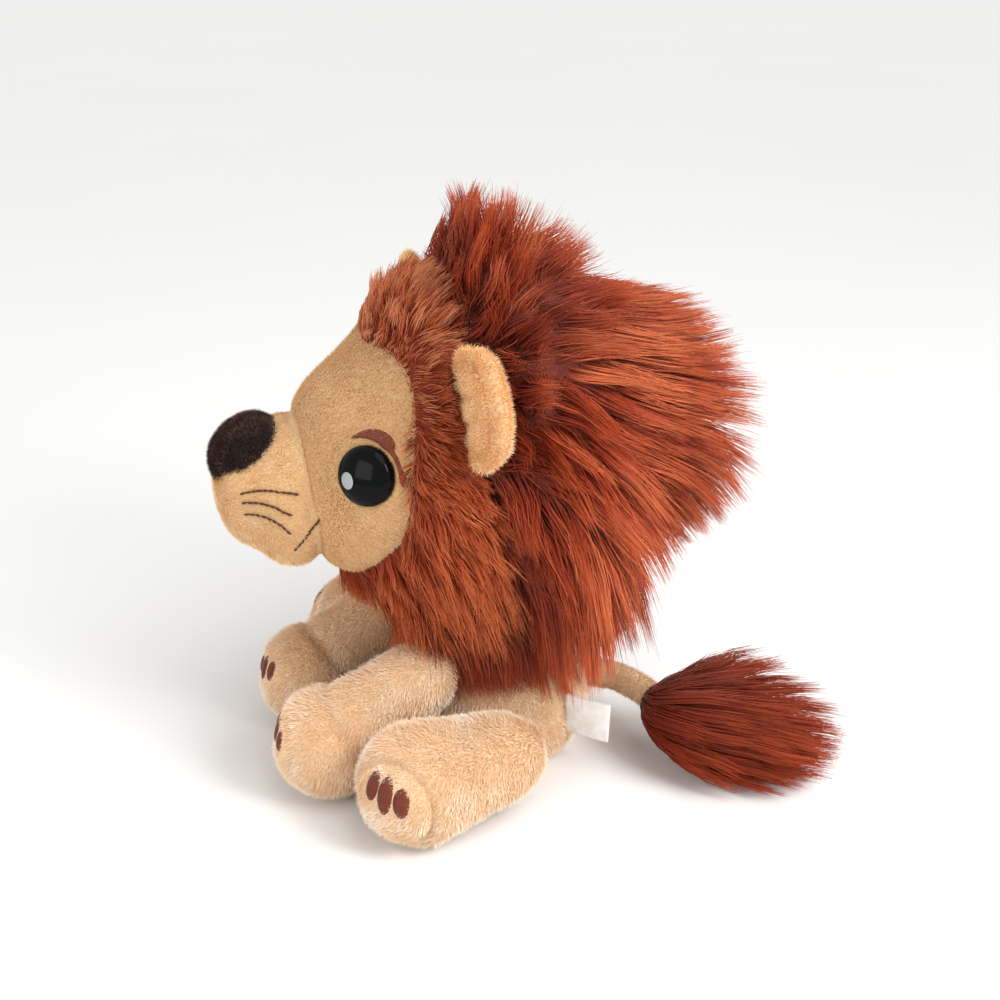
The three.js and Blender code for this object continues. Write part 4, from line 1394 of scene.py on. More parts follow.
@dataclass(frozen=True)
class Head:
    """The stuffed head with its smooth face, its muzzle and its nose."""

    neck: Triple = (0.0, 0.0, 66.0)
    neck_room: float = 34.1
    middle: Triple = (-24.0, 0.0, 150.6)
    tilt: float = 7.0
    rings: tuple[Ring, ...] = (
        (22.0, 2.5, 57.0, 57.0),
        (0.0, 0.0, 61.0, 59.5),
        (-28.0, -11.0, 52.0, 46.0),
        (-43.0, -17.0, 41.5, 40.5),
        (-53.0, -19.0, 33.0, 31.0),
    )
    skull_depth: float = 44.0
    muzzle_rings: tuple[Ring, ...] = (
        (-49.0, -18.5, 33.0, 31.0),
        (-66.0, -23.0, 32.0, 30.0),
        (-79.0, -20.0, 25.0, 22.0),
    )
    snout_depth: float = 10.0
    nose_at: Triple = (-97.8, 0.0, 146.2)
    nose_half: Triple = (15.6, 17.8, 13.8)
    nose_tilt: float = 38.0
    nose_full: float = 0.76
    pile: Pile = Pile(1.7, 1.7, 0.16, lean=0.9, spread=0.3, tuft=9.0, seed=31)
    muzzle_pile: Pile = Pile(2.4, 1.8, 0.15, tuft=6.0, seed=32)
    nose_pile: Pile = Pile(5.0, 2.4, 0.24, lean=0.2, spread=0.7, tuft=2.6, seed=33)
    in_share: float = 0.85

    @property
    def facing(self) -> Array:
        """The way that the head faces."""
        return np.array((-math.cos(math.radians(self.tilt)), 0.0, -math.sin(math.radians(self.tilt))))

    def from_neck(self, points: Array) -> Array:
        """How far points lie outside the room that the neck takes."""
        return lengths(points - self.neck) - self.neck_room

    def stations(self, rings: tuple[Ring, ...]) -> list[Station]:
        """Rings as places with their half sizes."""
        return [(np.array(self.middle) + (x, 0, z), wide, tall) for x, z, wide, tall in rings]

    @cached_property
    def form(self) -> StuffedForm:
        """The head's form, from the back of the skull to the muzzle's seam."""
        return StuffedForm(self.stations(self.rings), (self.skull_depth, 0.0), self.facing)

    @cached_property
    def muzzle(self) -> StuffedForm:
        """The muzzle's form."""
        return StuffedForm(self.stations(self.muzzle_rings), (0.0, self.snout_depth), self.facing)

    @property
    def seam_at(self) -> Array:
        """The middle of the muzzle's seam."""
        x, z, _, _ = self.rings[-1]
        return np.array(self.middle) + (x, 0, z)

    def ahead(self, points: Array) -> Array:
        """How far points lie in front of the muzzle's seam."""
        return (points - self.seam_at) @ self.facing

    def share_of(self, points: Array) -> Array:
        """Where along the head's line points lie."""
        grid = np.linspace(0, 1, 60)
        return np.interp(points @ self.facing, self.form.line.at(grid) @ self.facing, grid)

    @property
    def nose_turn(self) -> Array:
        """The nose's own directions along, across and up it, one in each column."""
        cos, sin = math.cos(math.radians(self.nose_tilt)), math.sin(math.radians(self.nose_tilt))
        return np.array(((cos, 0, -sin), (0, 1, 0), (sin, 0, cos)))

    def in_nose(self, points: Array, grow: float) -> Array:
        """Whether points lie inside the nose."""
        parts = (points - self.nose_at) @ self.nose_turn / (np.array(self.nose_half) + grow)
        return np.sum(parts**2, -1) < 1

    def build(self, eyes: "Eyes") -> tuple[Object, Object]:
        """Makes the face, the muzzle and the nose with their pile.

        Args:
            eyes: The eyes that are set in the face.

        Returns:
            The skins of the face and the muzzle.
        """
        face = self.form.skin(64, 22, 14).to_object("face_skin")
        sockets = [np.array(eyes.at) * (1, sign, 1) for sign in (1, -1)]

        def held(points: Array) -> Array:
            """The seams, the eyes and the neck hold the face."""
            seam = fading(np.abs(self.ahead(points)) - 2, 6)
            neck = fading(self.from_neck(points) - 4, 6)
            holes = [fading(lengths(points - at) - eyes.radius, 5) for at in sockets]
            return np.maximum.reduce((seam, neck, *holes))

        Stuffing(most=1.3).fill(face, held)
        points = places_of(face)
        away = points - self.neck
        far = np.linalg.norm(away, axis=1, keepdims=True)
        points = np.array(self.neck) + away * np.maximum(1, (self.neck_room + 0.2) / far)
        move_to(face, eyes.level(points))
        press(face, self.ahead(places_of(face)), 0.9, 2.2)
        FACE_SKIN.dress(face)
        muzzle = self.muzzle.skin(56, 14, 9).to_object("muzzle_skin")

        def held_muzzle(points: Array) -> Array:
            """The seam and the nose hold the muzzle."""
            return np.maximum(fading(self.ahead(points) - 1, 6), self.in_nose(points, 3) * 1.0)

        Stuffing(3.5, most=1.6).fill(muzzle, held_muzzle)
        press(muzzle, self.ahead(places_of(muzzle)) - 1, 0.8, 2.2)
        MUZZLE_SKIN.dress(muzzle)
        nose = self.nose()
        points = places_of(face)
        cover = (self.share_of(points) > 0.3) & (self.from_neck(points) > 8)
        for at in sockets:
            cover &= lengths(points - at) > eyes.radius + 0.3
        cover &= (self.ahead(points) < -0.3) & ~self.in_nose(points, 0.3)
        rise = 0.5 + 0.5 * smooth((-self.ahead(points) - 1) / 4)
        outward = np.sign(points[:, 1:2]) * (0.0, 0.2, 0.0)
        comb = lie(face, outward + REARWARD - UP * 0.3)
        coat = self.pile.plant(face, "face_pile", FACE_PILE, comb, cover * 1.0, rise)
        points = places_of(muzzle)
        cover = (self.ahead(points) > 0.8) & ~self.in_nose(points, 0.2)
        rise = 0.5 + 0.5 * smooth((self.ahead(points) - 1) / 4)
        comb = lie(muzzle, REARWARD - UP * 0.3)
        fringe = self.muzzle_pile.plant(muzzle, "muzzle_pile", MUZZLE_PILE, comb, cover * 1.0, rise)
        cover = ~self.in_muzzle(places_of(nose)) * 1.0
        nap = self.nose_pile.plant(nose, "nose_pile", NOSE_PILE, lie(nose, REARWARD), cover)
        ride(face, "head", ("head_shell", "head_filling"))
        ride(coat, "head")
        ride(muzzle, "head", ("muzzle_shell",))
        ride(fringe, "head")
        ride(nose, "head", ("nose_pad",))
        ride(nap, "head")
        return face, muzzle

    def in_muzzle(self, points: Array) -> Array:
        """Whether points lie inside the muzzle's form."""
        grid = np.linspace(0, 1, 40)
        at = self.muzzle.line.at(grid)
        share = np.interp(points @ self.facing, at @ self.facing, grid)
        wide, tall = eased(self.muzzle.halves, share).T
        _, across, rise = self.muzzle.frame(share)
        from_line = points - self.muzzle.line.at(share)
        parts = (np.sum(from_line * way, -1) for way in (across, rise, self.facing))
        sizes = (wide, tall, self.snout_depth)
        return sum((part / size) ** 2 for part, size in zip(parts, sizes)) < self.in_share

    def nose(self) -> Object:
        """The nose's skin, a cushion that is broadest at its top."""
        long, wide, tall = self.nose_half
        turn = np.linspace(0, math.pi, 30)[1:-1, None]
        angle = round_turn(48)[None]
        full = np.sin(turn) ** self.nose_full
        x = -long * np.cos(turn) * np.ones_like(angle)
        y = wide * full * np.sign(np.cos(angle)) * np.abs(np.cos(angle)) ** self.nose_full
        z = tall * full * np.sign(np.sin(angle)) * np.abs(np.sin(angle)) ** self.nose_full
        rings = np.stack((x, y, z), -1) @ self.nose_turn.T + self.nose_at
        poles = tuple(self.nose_turn @ (sign * long, 0, 0) + self.nose_at for sign in (-1, 1))
        return NOSE_SKIN.dress(Shape.wrapped(rings, poles).to_object("nose_skin"))


@dataclass(frozen=True)
class Eyes:
    """Snap-in eyes, each with the small print on its dome and the stitched lid round it."""

    at: Triple = (-56.72, -47.13, 151.76)
    out: Triple = (-0.6011, -0.7711, 0.2099)
    radius: float = 12.0
    dome: float = 6.0
    rim: float = 1.4
    shank: float = 2.2
    shank_long: float = 11.0
    print_at: tuple[float, float] = (-5.6, -1.0)
    print_half: tuple[float, float] = (2.9, 3.4)
    set_in: float = 0.6
    level_to: float = 0.8
    print_lift: float = 0.06
    print_sunk: float = -0.1
    lid_stitches: int = 92
    lid_thread: float = 0.27
    lid_angles: tuple[float, float] = (112.0, -16.0)
    lid_outline: tuple[tuple[float, ...], ...] = (
        (0.0, 0.12, 0.3, 0.44, 0.54, 0.6, 0.8, 0.94, 1.0),
        (15.6, 16.0, 16.1, 15.9, 15.4, 14.6, 14.5, 15.2, 15.7),
        (0.3, 1.1, 2.0, 2.4, 1.8, 0.7, 0.6, 1.0, 0.2),
    )

    @property
    def basis(self) -> tuple[Array, Array, Array]:
        """The directions back and up in the eye's plane, and out of it."""
        out = unit(np.array(self.out))
        back = unit(REARWARD - out * out[0])
        return back, np.cross(out, back), out

    def place(self, x: Array, y: Array, rise: Array) -> Array:
        """Points back, up and out from the eye's middle."""
        back, upward, out = self.basis
        return np.array(self.at) + x[..., None] * back + y[..., None] * upward + rise[..., None] * out

    def level(self, points: Array) -> Array:
        """The face's points, brought to the eyes' rims where they come near."""
        points = points.copy()
        for sign in (1, -1):
            away = points * (1, sign, 1) - self.at
            out = self.basis[2]
            height = away @ out
            ring = lengths(away - height[:, None] * out)
            wanted = -self.set_in + (self.set_in + self.level_to) * smooth((ring - self.radius + 1.5) / 3)
            near = fading(ring - self.radius - 0.8, 6) * (np.abs(height) < 14)
            points += (near * (wanted - height))[:, None] * out * (1, sign, 1)
        return points

    def build(self, face: Object) -> None:
        """Makes both eyes.

        Args:
            face: The face's skin.
        """
        turn = np.linspace(0, math.pi / 2, 12)[:-1]
        outline = [(self.shank, -self.shank_long), (self.shank, -0.3), (self.radius - 0.5, 0.0), (self.radius, 0.3)]
        outline += [(self.radius * math.cos(t), self.rim + self.dome * math.sin(t)) for t in turn]
        angles = round_turn(64)
        radii = np.array([r for r, _ in outline])[:, None]
        heights = np.array([h for _, h in outline])[:, None] * np.ones_like(angles)
        rings = self.place(radii * np.cos(angles), radii * np.sin(angles), heights)
        zero = np.array(0.0)
        poles = (self.place(zero, zero, zero - self.shank_long), self.place(zero, zero, zero + self.rim + self.dome))
        eye = EYE_GLOSS.dress(Shape.wrapped(rings, poles).to_object("eye_bead"))
        ride_both(eye, "eye_bead", "head", ("eye_*",))
        ride_both(self.dot(), "eye_print", "head")
        lid = self.lid(Surface(face)).to_object("eye_brow", BROWN_THREAD)
        ride_both(lid, "eye_brow", "head", ("eye_lid_*",))
        for node in ("eye_washer_left", "eye_washer_right"):
            WASHER_PLASTIC.dress(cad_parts[node])

    def dot(self) -> Object:
        """The thin printed oval on the left eye's dome."""
        shares = np.linspace(0.15, 1, 6)[:, None]
        angles = round_turn(32)[None]
        x = self.print_at[0] + shares * self.print_half[0] * np.cos(angles)
        y = self.print_at[1] + shares * self.print_half[1] * np.sin(angles)

        def on_dome(x: Array, y: Array, lift: float) -> Array:
            """Points a little above the dome."""
            inside = np.maximum(1 - (x**2 + y**2) / self.radius**2, 0)
            return self.place(x, y, self.rim + self.dome * np.sqrt(inside) + lift)

        top, low = on_dome(x, y, self.print_lift), on_dome(x, y, self.print_sunk)[::-1]
        middle = [np.array(value) for value in self.print_at]
        poles = (on_dome(*middle, self.print_lift), on_dome(*middle, self.print_sunk))
        return EYE_PRINT.dress(Shape.wrapped(np.vstack((top, low)), poles).to_object("eye_print"))

    def lid(self, face: Surface) -> Strands:
        """The satin stitches of the left lid, across a crescent that tapers to a line."""
        share = np.linspace(0.012, 0.99, self.lid_stitches)
        turn = np.radians(mix(self.lid_angles[0], self.lid_angles[1], share))
        shares, radii, halves = self.lid_outline
        swell, radius = np.interp(share, shares, halves), np.interp(share, shares, radii)
        spots = np.linspace(-1, 1, 7)
        ring = np.maximum(radius[:, None] + swell[:, None] * spots, self.radius + 0.4)
        turned = turn[:, None] + 0.03 * spots
        flat = self.place(ring * np.cos(turned), ring * np.sin(turned), np.zeros_like(ring))
        down = face.drop(flat.reshape(-1, 3), -self.basis[2], 12)
        lift = 0.15 + 0.9 * np.sqrt(1 - spots**2) * np.minimum(1, swell[:, None] / 1.2)
        raised = down.reshape(flat.shape) + lift[..., None] * self.basis[2]
        rng = np.random.default_rng(5)
        return Strands(raised, rng.uniform(0.2, 0.8, len(share)), self.lid_thread, end=0.85, sides=5)


@dataclass(frozen=True)
class FaceStitching:
    """Whiskers and mouth, sewn on the muzzle as rows of stitches."""

    whiskers: tuple[tuple[Triple, Triple], ...] = (
        ((1.045, 0.6, 0.22), (22.0, 26.7, 18.5)),
        ((1.075, 0.66, 0.3), (12.0, 13.8, 3.5)),
        ((1.06, 0.7, 0.395), (-0.5, 1.2, -10.5)),
    )
    mouth: tuple[Triple, Triple] = ((0.03, 0.2, 0.44), (-5.0, -14.5, -28.0))
    stitch: float = 2.3
    gap: float = 0.12
    thick: float = 0.52
    above: float = 6.0
    lift: float = 0.35
    arch: tuple[float, float] = (0.45, 0.15)

    def row(self, run: tuple[Triple, Triple], muzzle: StuffedForm, skin: Surface) -> Strands:
        """One row of stitches.

        Args:
            run: Shares and angles at its front, its middle and its rear.
            muzzle: The muzzle's form.
            skin: The muzzle's skin.

        Returns:
            Its stitches.
        """
        steps = np.linspace(0, 1, 80)
        weights = np.stack(((1 - steps) * (1 - 2 * steps), 4 * steps * (1 - steps), steps * (2 * steps - 1)))
        share, angle = np.array(run[0]) @ weights, np.radians(np.array(run[1]) @ weights)
        above = muzzle.cover(share, angle, self.above)
        found = []
        for n, point in enumerate(above):
            way = -muzzle.normal(share[n], angle[n])
            found.append(skin.drop(point[None], way, 10.0)[0] - way * self.lift)
        path = np.array(found)
        along = np.concatenate(((0,), np.cumsum(lengths(np.diff(path, axis=0)))))
        count = int(along[-1] // (self.stitch + self.gap))
        starts = np.arange(count) * (self.stitch + self.gap)
        spots = np.linspace(0, 1, 7)
        at = starts[:, None] + spots * self.stitch
        points = np.stack([np.interp(at, along, path[:, n]) for n in range(3)], -1)
        out = np.array([muzzle.normal(np.interp(m, along, share), np.interp(m, along, angle)) for m in at.mean(1)])
        high, sunk = self.arch
        points += out[:, None] * (high * np.sin(math.pi * spots) - sunk)[:, None]
        rng = np.random.default_rng(count)
        swell = np.sqrt(np.sin(math.pi * (0.1 + 0.8 * spots)))
        return Strands(points, rng.uniform(0.3, 0.7, count), self.thick, sides=6, swell=swell)

    def build(self, muzzle: StuffedForm, skin: Object) -> None:
        """Sews every row on both sides.

        Args:
            muzzle: The muzzle's form.
            skin: Its skin.
        """
        surface = Surface(skin)
        rows = [(f"whisker_row_{n}", f"whisker_{n}", run) for n, run in enumerate(self.whiskers, 1)]
        for name, node, run in [*rows, ("mouth_row", "mouth_thread", self.mouth)]:
            row = self.row(run, muzzle, surface).to_object(name, DARK_THREAD)
            ride_both(row, name, "head", (f"{node}_*",))


@dataclass(frozen=True)
class Ears:
    """Dished flaps with a thick rounded rim."""

    root: Triple = (-19.90, -54.87, 176.96)
    out: Triple = (0.17, -0.893, 0.417)
    long: float = 26.0
    tip: float = 11.0
    wide: float = 23.0
    thick: float = 5.0
    root_thick: float = 2.6
    root_share: float = 0.82
    tip_share: float = 0.86
    dish: float = 1.5
    dish_share: float = 0.74
    folds: tuple[Triple, ...] = ((-4.0, 0.3, 1.9), (5.0, -0.15, 1.6))
    fold_wide: float = 1.6
    rim_fold: Triple = (1.3, 1.02, 0.11)
    pile: Pile = Pile(2.6, 2.7, 0.16, lean=0.6, tuft=5.0, seed=41)

    @cached_property
    def form(self) -> StuffedForm:
        """The left ear's form."""
        out = unit(np.array(self.out))
        start, end = np.array(self.root) - out * self.thick, np.array(self.root) + out * self.long
        stations = [
            (start, self.root_thick, self.root_share * self.wide),
            ((start + end) / 2, self.thick, self.wide),
            (end, self.thick, self.tip_share * self.wide),
        ]
        return StuffedForm(stations, (0.0, self.tip))

    def local(self, points: Array) -> tuple[Array, Array, Array]:
        """How far points lie out along the ear, towards its back, and up it."""
        along, across, rise = self.form.frame(np.array(0.5))
        away = points - self.root
        return away @ along, away @ across, away @ rise

    def near(self, points: Array, room: float) -> Array:
        """Whether points lie inside the room that either ear takes."""
        mirrored = points.copy()
        mirrored[..., 1] = -np.abs(mirrored[..., 1])
        out, back, rise = self.local(mirrored)
        thick = np.interp(out, (0, self.long / 2), (self.root_thick, self.thick)) + room
        end = self.long + self.tip * np.sqrt(np.clip(1 - (rise / self.wide) ** 2, 0, 1)) + room
        return (np.abs(back) < thick) & (np.abs(rise) < self.wide + room) & (out < end) & (out > -8)

    def build(self) -> None:
        """Makes both ears."""
        ear = self.form.skin(56, 22, 12).to_object("ear_skin")
        points = places_of(ear)
        out, back, rise = self.local(points)
        _, across, _ = self.form.frame(np.array(0.5))
        dish = self.dish_share * self.wide
        middle = ((out - self.long * 0.5) / dish) ** 2 + (rise / dish) ** 2
        hollow = self.dish * smooth(1.25 - middle) * (back < 0)
        depth, ring, wide = self.rim_fold
        folds = depth * np.exp(-(((np.sqrt(middle) - ring) / wide) ** 2))
        for at, bend, depth in self.folds:
            line = rise - at - bend * (out - self.long * 0.4)
            folds = folds + depth * np.exp(-((line / self.fold_wide) ** 2)) * smooth((self.long * 0.95 - out) / 8)
        move_to(ear, points + across * (hollow + folds * (back < 0))[:, None])
        CREAM_EAR.dress(ear)
        points = places_of(ear)
        out, back, rise = self.local(points)
        inner = smooth(1.3 - middle) * (back < 0)
        comb = lie(ear, np.array(self.out) + across * 0.2)
        cover = (out > 2) * 1.0
        coat = self.pile.plant(ear, "ear_pile", EAR_PILE, comb, cover, 1.05 - 0.62 * inner)
        ride_both(ear, "ear_skin", "ear_*", ("ear_*",))
        ride_both(coat, "ear_pile", "ear_*")


@dataclass(frozen=True)
class Lion:
    """The forms that the hair grows on and hangs clear of."""

    head: Head
    ears: Ears
    torso: Torso
    legs: list[Leg]

    def clear(self, points: Array, torso_room: float, leg_room: float) -> Array:
        """Points moved clear of the torso and of the legs."""
        return clear_of_legs(self.torso.clear(points, torso_room), self.legs, leg_room)


@dataclass(frozen=True)
class Hood:
    """Medium pile round the face, deeper under the chin."""

    back: float = 0.14
    side: float = 0.4
    top: float = 0.42
    chin: float = 0.78
    brow: float = 0.072
    pile: float = 8.0
    beard: float = 21.0
    beard_power: float = 1.3
    base_end: float = 0.97
    base_lift: float = 0.3
    base_sunk: float = -0.8
    root_lift: float = 0.5
    ear_room: float = 1.0
    torso_room: float = 3.0
    leg_room: float = 2.0
    # Tone on the sides, and added on top and under the chin: the paler top is painted light and the chin's lower tone
    # painted shade
    tone: Triple = (0.42, 0.4, -0.02)
    long: Triple = (1.7, -0.15, 0.3)
    hairs: int = 13500
    knots: int = 4
    thick: float = 0.23
    combs: tuple[Triple, Triple, Triple] = ((0.75, 0, 0.25), (0.7, 0, -0.6), (0.5, 0, -1.0))
    forelock: Triple = (0.34, 0.13, 1.2)
    locks: Locks = Locks(760, clump=0.36, stray=0.2, wave=0.7, lock_tone=0.1, hair_tone=0.13)

    def front(self, angle: Array) -> Array:
        """Where along the head the front edge lies."""
        middle = np.where(np.sin(angle) > 0, self.top, self.chin)
        return mix(self.side, middle, np.sin(angle) ** 2) - self.brow * self.brow_side(angle)

    def brow_side(self, angle: Array) -> Array:
        """How near an angle lies to the brow's outer end, from 0 to 1."""
        return np.where(np.sin(angle) > 0, np.sin(2 * angle) ** 2, 0)

    def deep(self, angle: Array) -> Array:
        """How deep the pile is."""
        return self.pile + self.beard * np.clip(-np.sin(angle), 0, 1) ** self.beard_power

    def base(self, head: StuffedForm) -> Object:
        """The backing, a thin ring under the pile."""
        angles = round_turn(96)
        shares = np.linspace(0, 1, 10)[:, None]
        place = mix(self.back, self.front(angles)[None], shares * self.base_end)
        lift = self.base_lift * self.deep(angles)[None] * np.sqrt(1 - 0.98 * shares**3)
        inner = head.cover(place, angles[None], self.base_sunk)
        rings = np.vstack((head.cover(place, angles[None], lift), inner[::-1]))
        return HOOD_SKIN.dress(Shape.wrapped(rings, None).to_object("hood_base"))

    def roots(self, lion: Lion, count: int, rng: Chance) -> tuple[Array, Array, Array]:
        """Evenly strewn roots.

        Args:
            lion: The forms, of which the ears stay bare.
            count: How many are wanted.
            rng: Where chance comes from.

        Returns:
            Their shares from back to front, their angles, and their places.
        """
        share, angle = rng.uniform(0, 1.03, 4 * count), rng.uniform(0, TURN, 4 * count)
        wide = (self.front(angle) - self.back) * (1 - 0.3 * share)
        place = mix(self.back, self.front(angle), share)
        at = lion.head.form.cover(place, angle, self.root_lift)
        good = (rng.random(4 * count) < wide / wide.max()) & ~lion.ears.near(at, self.ear_room)
        good &= lion.head.from_neck(at) > 1
        return share[good][:count], angle[good][:count], at[good][:count]

    def build(self, lion: Lion) -> None:
        """Makes the hood.

        Args:
            lion: The forms that it lies on and hangs clear of.
        """
        rng = np.random.default_rng(7)
        head, ears = lion.head, lion.ears
        share, angle, at = self.roots(lion, self.hairs, rng)
        _, _, centres = self.roots(lion, self.locks.count, rng)
        place = mix(self.back, self.front(angle), share)
        out = head.form.normal(place, angle)
        side = np.sign(at[:, 1])
        up, down = np.clip(np.sin(angle), 0, 1), np.clip(-np.sin(angle), 0, 1)
        weights = (up, 1 - up - down, down)
        comb = sum(weight[:, None] * np.array(way) for weight, way in zip(weights, self.combs))
        forward = 1.1 * smooth((share - 0.8) / 0.2) * (1 - 0.9 * self.brow_side(angle))
        forward = forward * (1 - 0.4 * up) * (1 - 1.2 * down)
        middle, wide, ahead = self.forelock
        forelock = np.exp(-(((np.sin(angle) - middle) / wide) ** 2)) * smooth((share - 0.82) / 0.18)
        forward = forward + ahead * forelock
        comb = comb + np.stack((0 * side, side * 0.15, 0 * side), -1) - REARWARD * forward[:, None]
        comb = beside(comb, out)
        sides, top, chin = self.long
        long = (sides + top * up + chin * down) * self.deep(angle) * (1 - 0.5 * smooth((share - 0.75) / 0.25))
        long *= rng.uniform(0.75, 1.2, len(at))
        long *= 1 - 0.15 * ears.near(at, 9.0) - 0.3 * ears.near(at, 5.0)
        long *= (1 - 0.5 * down * smooth((share - 0.6) / 0.3)) * (1 + 0.2 * forelock)
        member = nearest(at, centres)
        swirl = rng.normal(0, 0.26, (len(centres), 3))[member] + rng.normal(0, 0.14, at.shape)
        first = unit(out * (1 - 0.5 * down[:, None]) + 0.45 * comb + 0.4 * swirl)
        last = unit(comb * (1 - 0.6 * down[:, None]) + 0.35 * out + 0.8 * swirl - UP * 1.5 * down[:, None])
        t = np.linspace(0, 1, self.knots)[None, :, None]
        own = at[:, None] + long[:, None, None] * (first[:, None] * (t - t**2 / 2) + last[:, None] * t**2 / 2)
        tips = np.zeros((len(centres), self.knots, 3))
        weight = np.zeros(len(centres))
        np.add.at(tips, member, own)
        np.add.at(weight, member, 1)
        middle = tips / np.maximum(weight, 1)[:, None, None]
        paths = self.locks.gather(own, middle, member, rng)
        paths = lion.clear(paths, self.torso_room, self.leg_room)
        # Painted light and shade: hairs on top take a paler tone and those under the chin a darker one
        sides, top, chin = self.tone
        tone = self.locks.tones(sides + top * up + chin * down, member, rng)
        ride(self.base(head.form), "head", ("hair_hood",))
        for sign, name in ((-1, "hood_left"), (1, "hood_right")):
            chosen = side * sign > 0
            part = Strands(paths[chosen], tone[chosen], self.thick).to_object(name, HOOD_PILE)
            ride(part, "head", ("hair_hood",))


@dataclass(frozen=True)
class Mane:
    """Long pile that rises behind the hood and stands out in pointed locks."""

    back: float = 0.14
    seam: float = 1.5
    long: float = 128.0
    rise: float = 98.0
    spread: float = 95.0
    hang: float = 94.0
    shares: tuple[Ring, ...] = (
        (0.0, 0.65, 0.68, 0.69),
        (0.14, 1.0, 0.82, 0.9),
        (0.28, 0.96, 0.98, 0.99),
        (0.5, 0.79, 0.81, 0.89),
        (0.71, 0.5, 0.51, 0.57),
    )
    rear: float = -0.97
    reach: tuple[float, float] = (0.02, 1.88)
    angles: tuple[tuple[int, ...], ...] = ((-90, -60, -30, 0, 30, 60, 90), (-90, -78, -55, -13, 22, 57, 90))
    hairs: int = 20500
    thick: float = 0.3
    end: float = 0.14
    highest: float = 254.0
    crest_room: float = 6.0
    knots: int = 6
    start: float = 0.3
    core: float = 0.52
    fall: float = 13.0
    beyond: float = 5.0
    ragged: float = 9.0
    filled: float = 1.1
    bows: tuple[float, float] = (0.36, 0.34)
    low_from: float = 100.0
    low_ease: float = 30.0
    below_short: float = 0.22
    root_lift: float = 0.5
    ear_room: float = 1.5
    room: float = 3.0
    short_share: float = 0.25
    short: tuple[float, float] = (0.6, 0.9)
    whole: tuple[float, float] = (0.9, 1.06)
    flyaway: float = 0.06
    flown: tuple[float, float] = (1.04, 1.14)
    hung_low: float = 78.0
    hung_from: float = 40.0
    hung_by: float = 19.0
    crossing: Crossing = Crossing("neck", "torso", 92.0, 64.0)
    fringe_hairs: int = 2800
    fringe_in: float = 8.0
    fringe_low: float = 43.0
    fringe_thick: float = 0.29
    fringe_end: float = 0.16
    fringe_room: tuple[float, float] = (4.0, 2.5)
    fringe_bow: float = 0.3
    fringe_locks: Locks = Locks(150, clump=0.5, stray=0.15, wave=1.6)
    locks: Locks = Locks(430, clump=0.64, stray=0.16, wave=2.2)

    def form(self, head: Head) -> StuffedForm:
        """The mane's outer form."""
        seam = head.form.line.at(np.array(self.back)) - head.facing * self.seam
        stations = []
        for back, rise, spread, hang in self.shares:
            above, below = rise * self.rise, hang * self.hang
            at = seam - head.facing * back * self.long
            at[2] = head.middle[2] + (above - below) / 2
            stations.append((at, spread * self.spread, (above + below) / 2))
        return StuffedForm(stations, (0.0, self.long * (1 - self.shares[-1][0])), -head.facing, 0.8)

    def reached(self, behind: Array) -> Array:
        """Where along the form hairs end, by how far back they are rooted."""
        first, span = self.reach
        return first + span * behind

    def rooted(self, behind: Array) -> Array:
        """Where along the head's form roots lie, by how far back they are."""
        return mix(self.back, self.rear, behind)

    def ends(self, form: StuffedForm, behind: Array, angle: Array, grow: Array) -> Array:
        """Where hairs end on the form.

        Args:
            form: The mane's outer form.
            behind: How far back each root lies, from 0 at the seam to 1 behind the head.
            angle: The root's angle round the head.
            grow: How far outside the form each ends.

        Returns:
            The ends.
        """
        high = np.degrees(np.arcsin(np.sin(angle)))
        sunk = np.radians(np.interp(high, *self.angles))
        left = np.cos(angle) > 0
        hung = smooth(-np.sin(angle) * 2.2) * (1 - 0.6 * smooth(-np.sin(angle) * 3 - 2))
        place = self.reached(behind) * (1 - self.below_short * hung)
        found = form.cover(place, np.where(left, math.pi - sunk, sunk), grow)
        found[..., 2] -= self.fall * smooth((self.low_from - found[..., 2]) / self.low_ease)
        return found

    def strew(self, lion: Lion, count: int, rng: Chance) -> tuple[Array, Array, Array]:
        """Evenly strewn roots on the skull behind the hood.

        Args:
            lion: The forms, of which the ears stay bare.
            count: How many are wanted.
            rng: Where chance comes from.

        Returns:
            How far back each lies, its angle and its place.
        """
        behind, angle = rng.random(5 * count), rng.uniform(0, TURN, 5 * count)
        reached = self.reached(behind)
        size = np.interp(reached, (0, 0.25, 0.5, 0.75, 1.0), [rise for _, rise, _, _ in self.shares])
        size = size * np.cos(np.maximum(reached - 1, 0) * math.pi / 2)
        at = lion.head.form.cover(self.rooted(behind), angle, self.root_lift)
        good = rng.random(5 * count) < size * (1 + self.filled * smooth(behind * 1.3))
        good &= ~lion.ears.near(at, self.ear_room) & (lion.head.from_neck(at) > 1)
        return behind[good][:count], angle[good][:count], at[good][:count]

    def curves(self, head: Head, root: tuple[Array, Array, Array], end: Array) -> Array:
        """Hairs from their roots to their ends.

        Args:
            head: The head.
            root: How far back each root lies, its angle and its place.
            end: Where each hair ends.

        Returns:
            The paths.
        """
        behind, angle, at = root
        out = head.form.normal(self.rooted(behind), angle)
        far = np.linalg.norm(end - at, axis=1, keepdims=True)
        way = unit(end - at)
        high = np.sin(angle)[:, None]
        fall = -UP * (0.2 + 0.5 * smooth(-high + 0.4)) * (1 - np.clip(high, 0, 1))
        near, far_off = self.bows
        first, last = at + far * near * unit(out + 0.3 * way), end - far * far_off * unit(way + fall)
        return bezier(at, first, last, end, self.knots, self.start)

    def hanging(self, end: Array) -> Array:
        """How far hairs hang below the mane's form, from 0 to 1, by where they end."""
        low = smooth((self.hung_low - end[:, 2]) / 14)
        return low * smooth((self.hung_from - end[:, 0]) / 28)

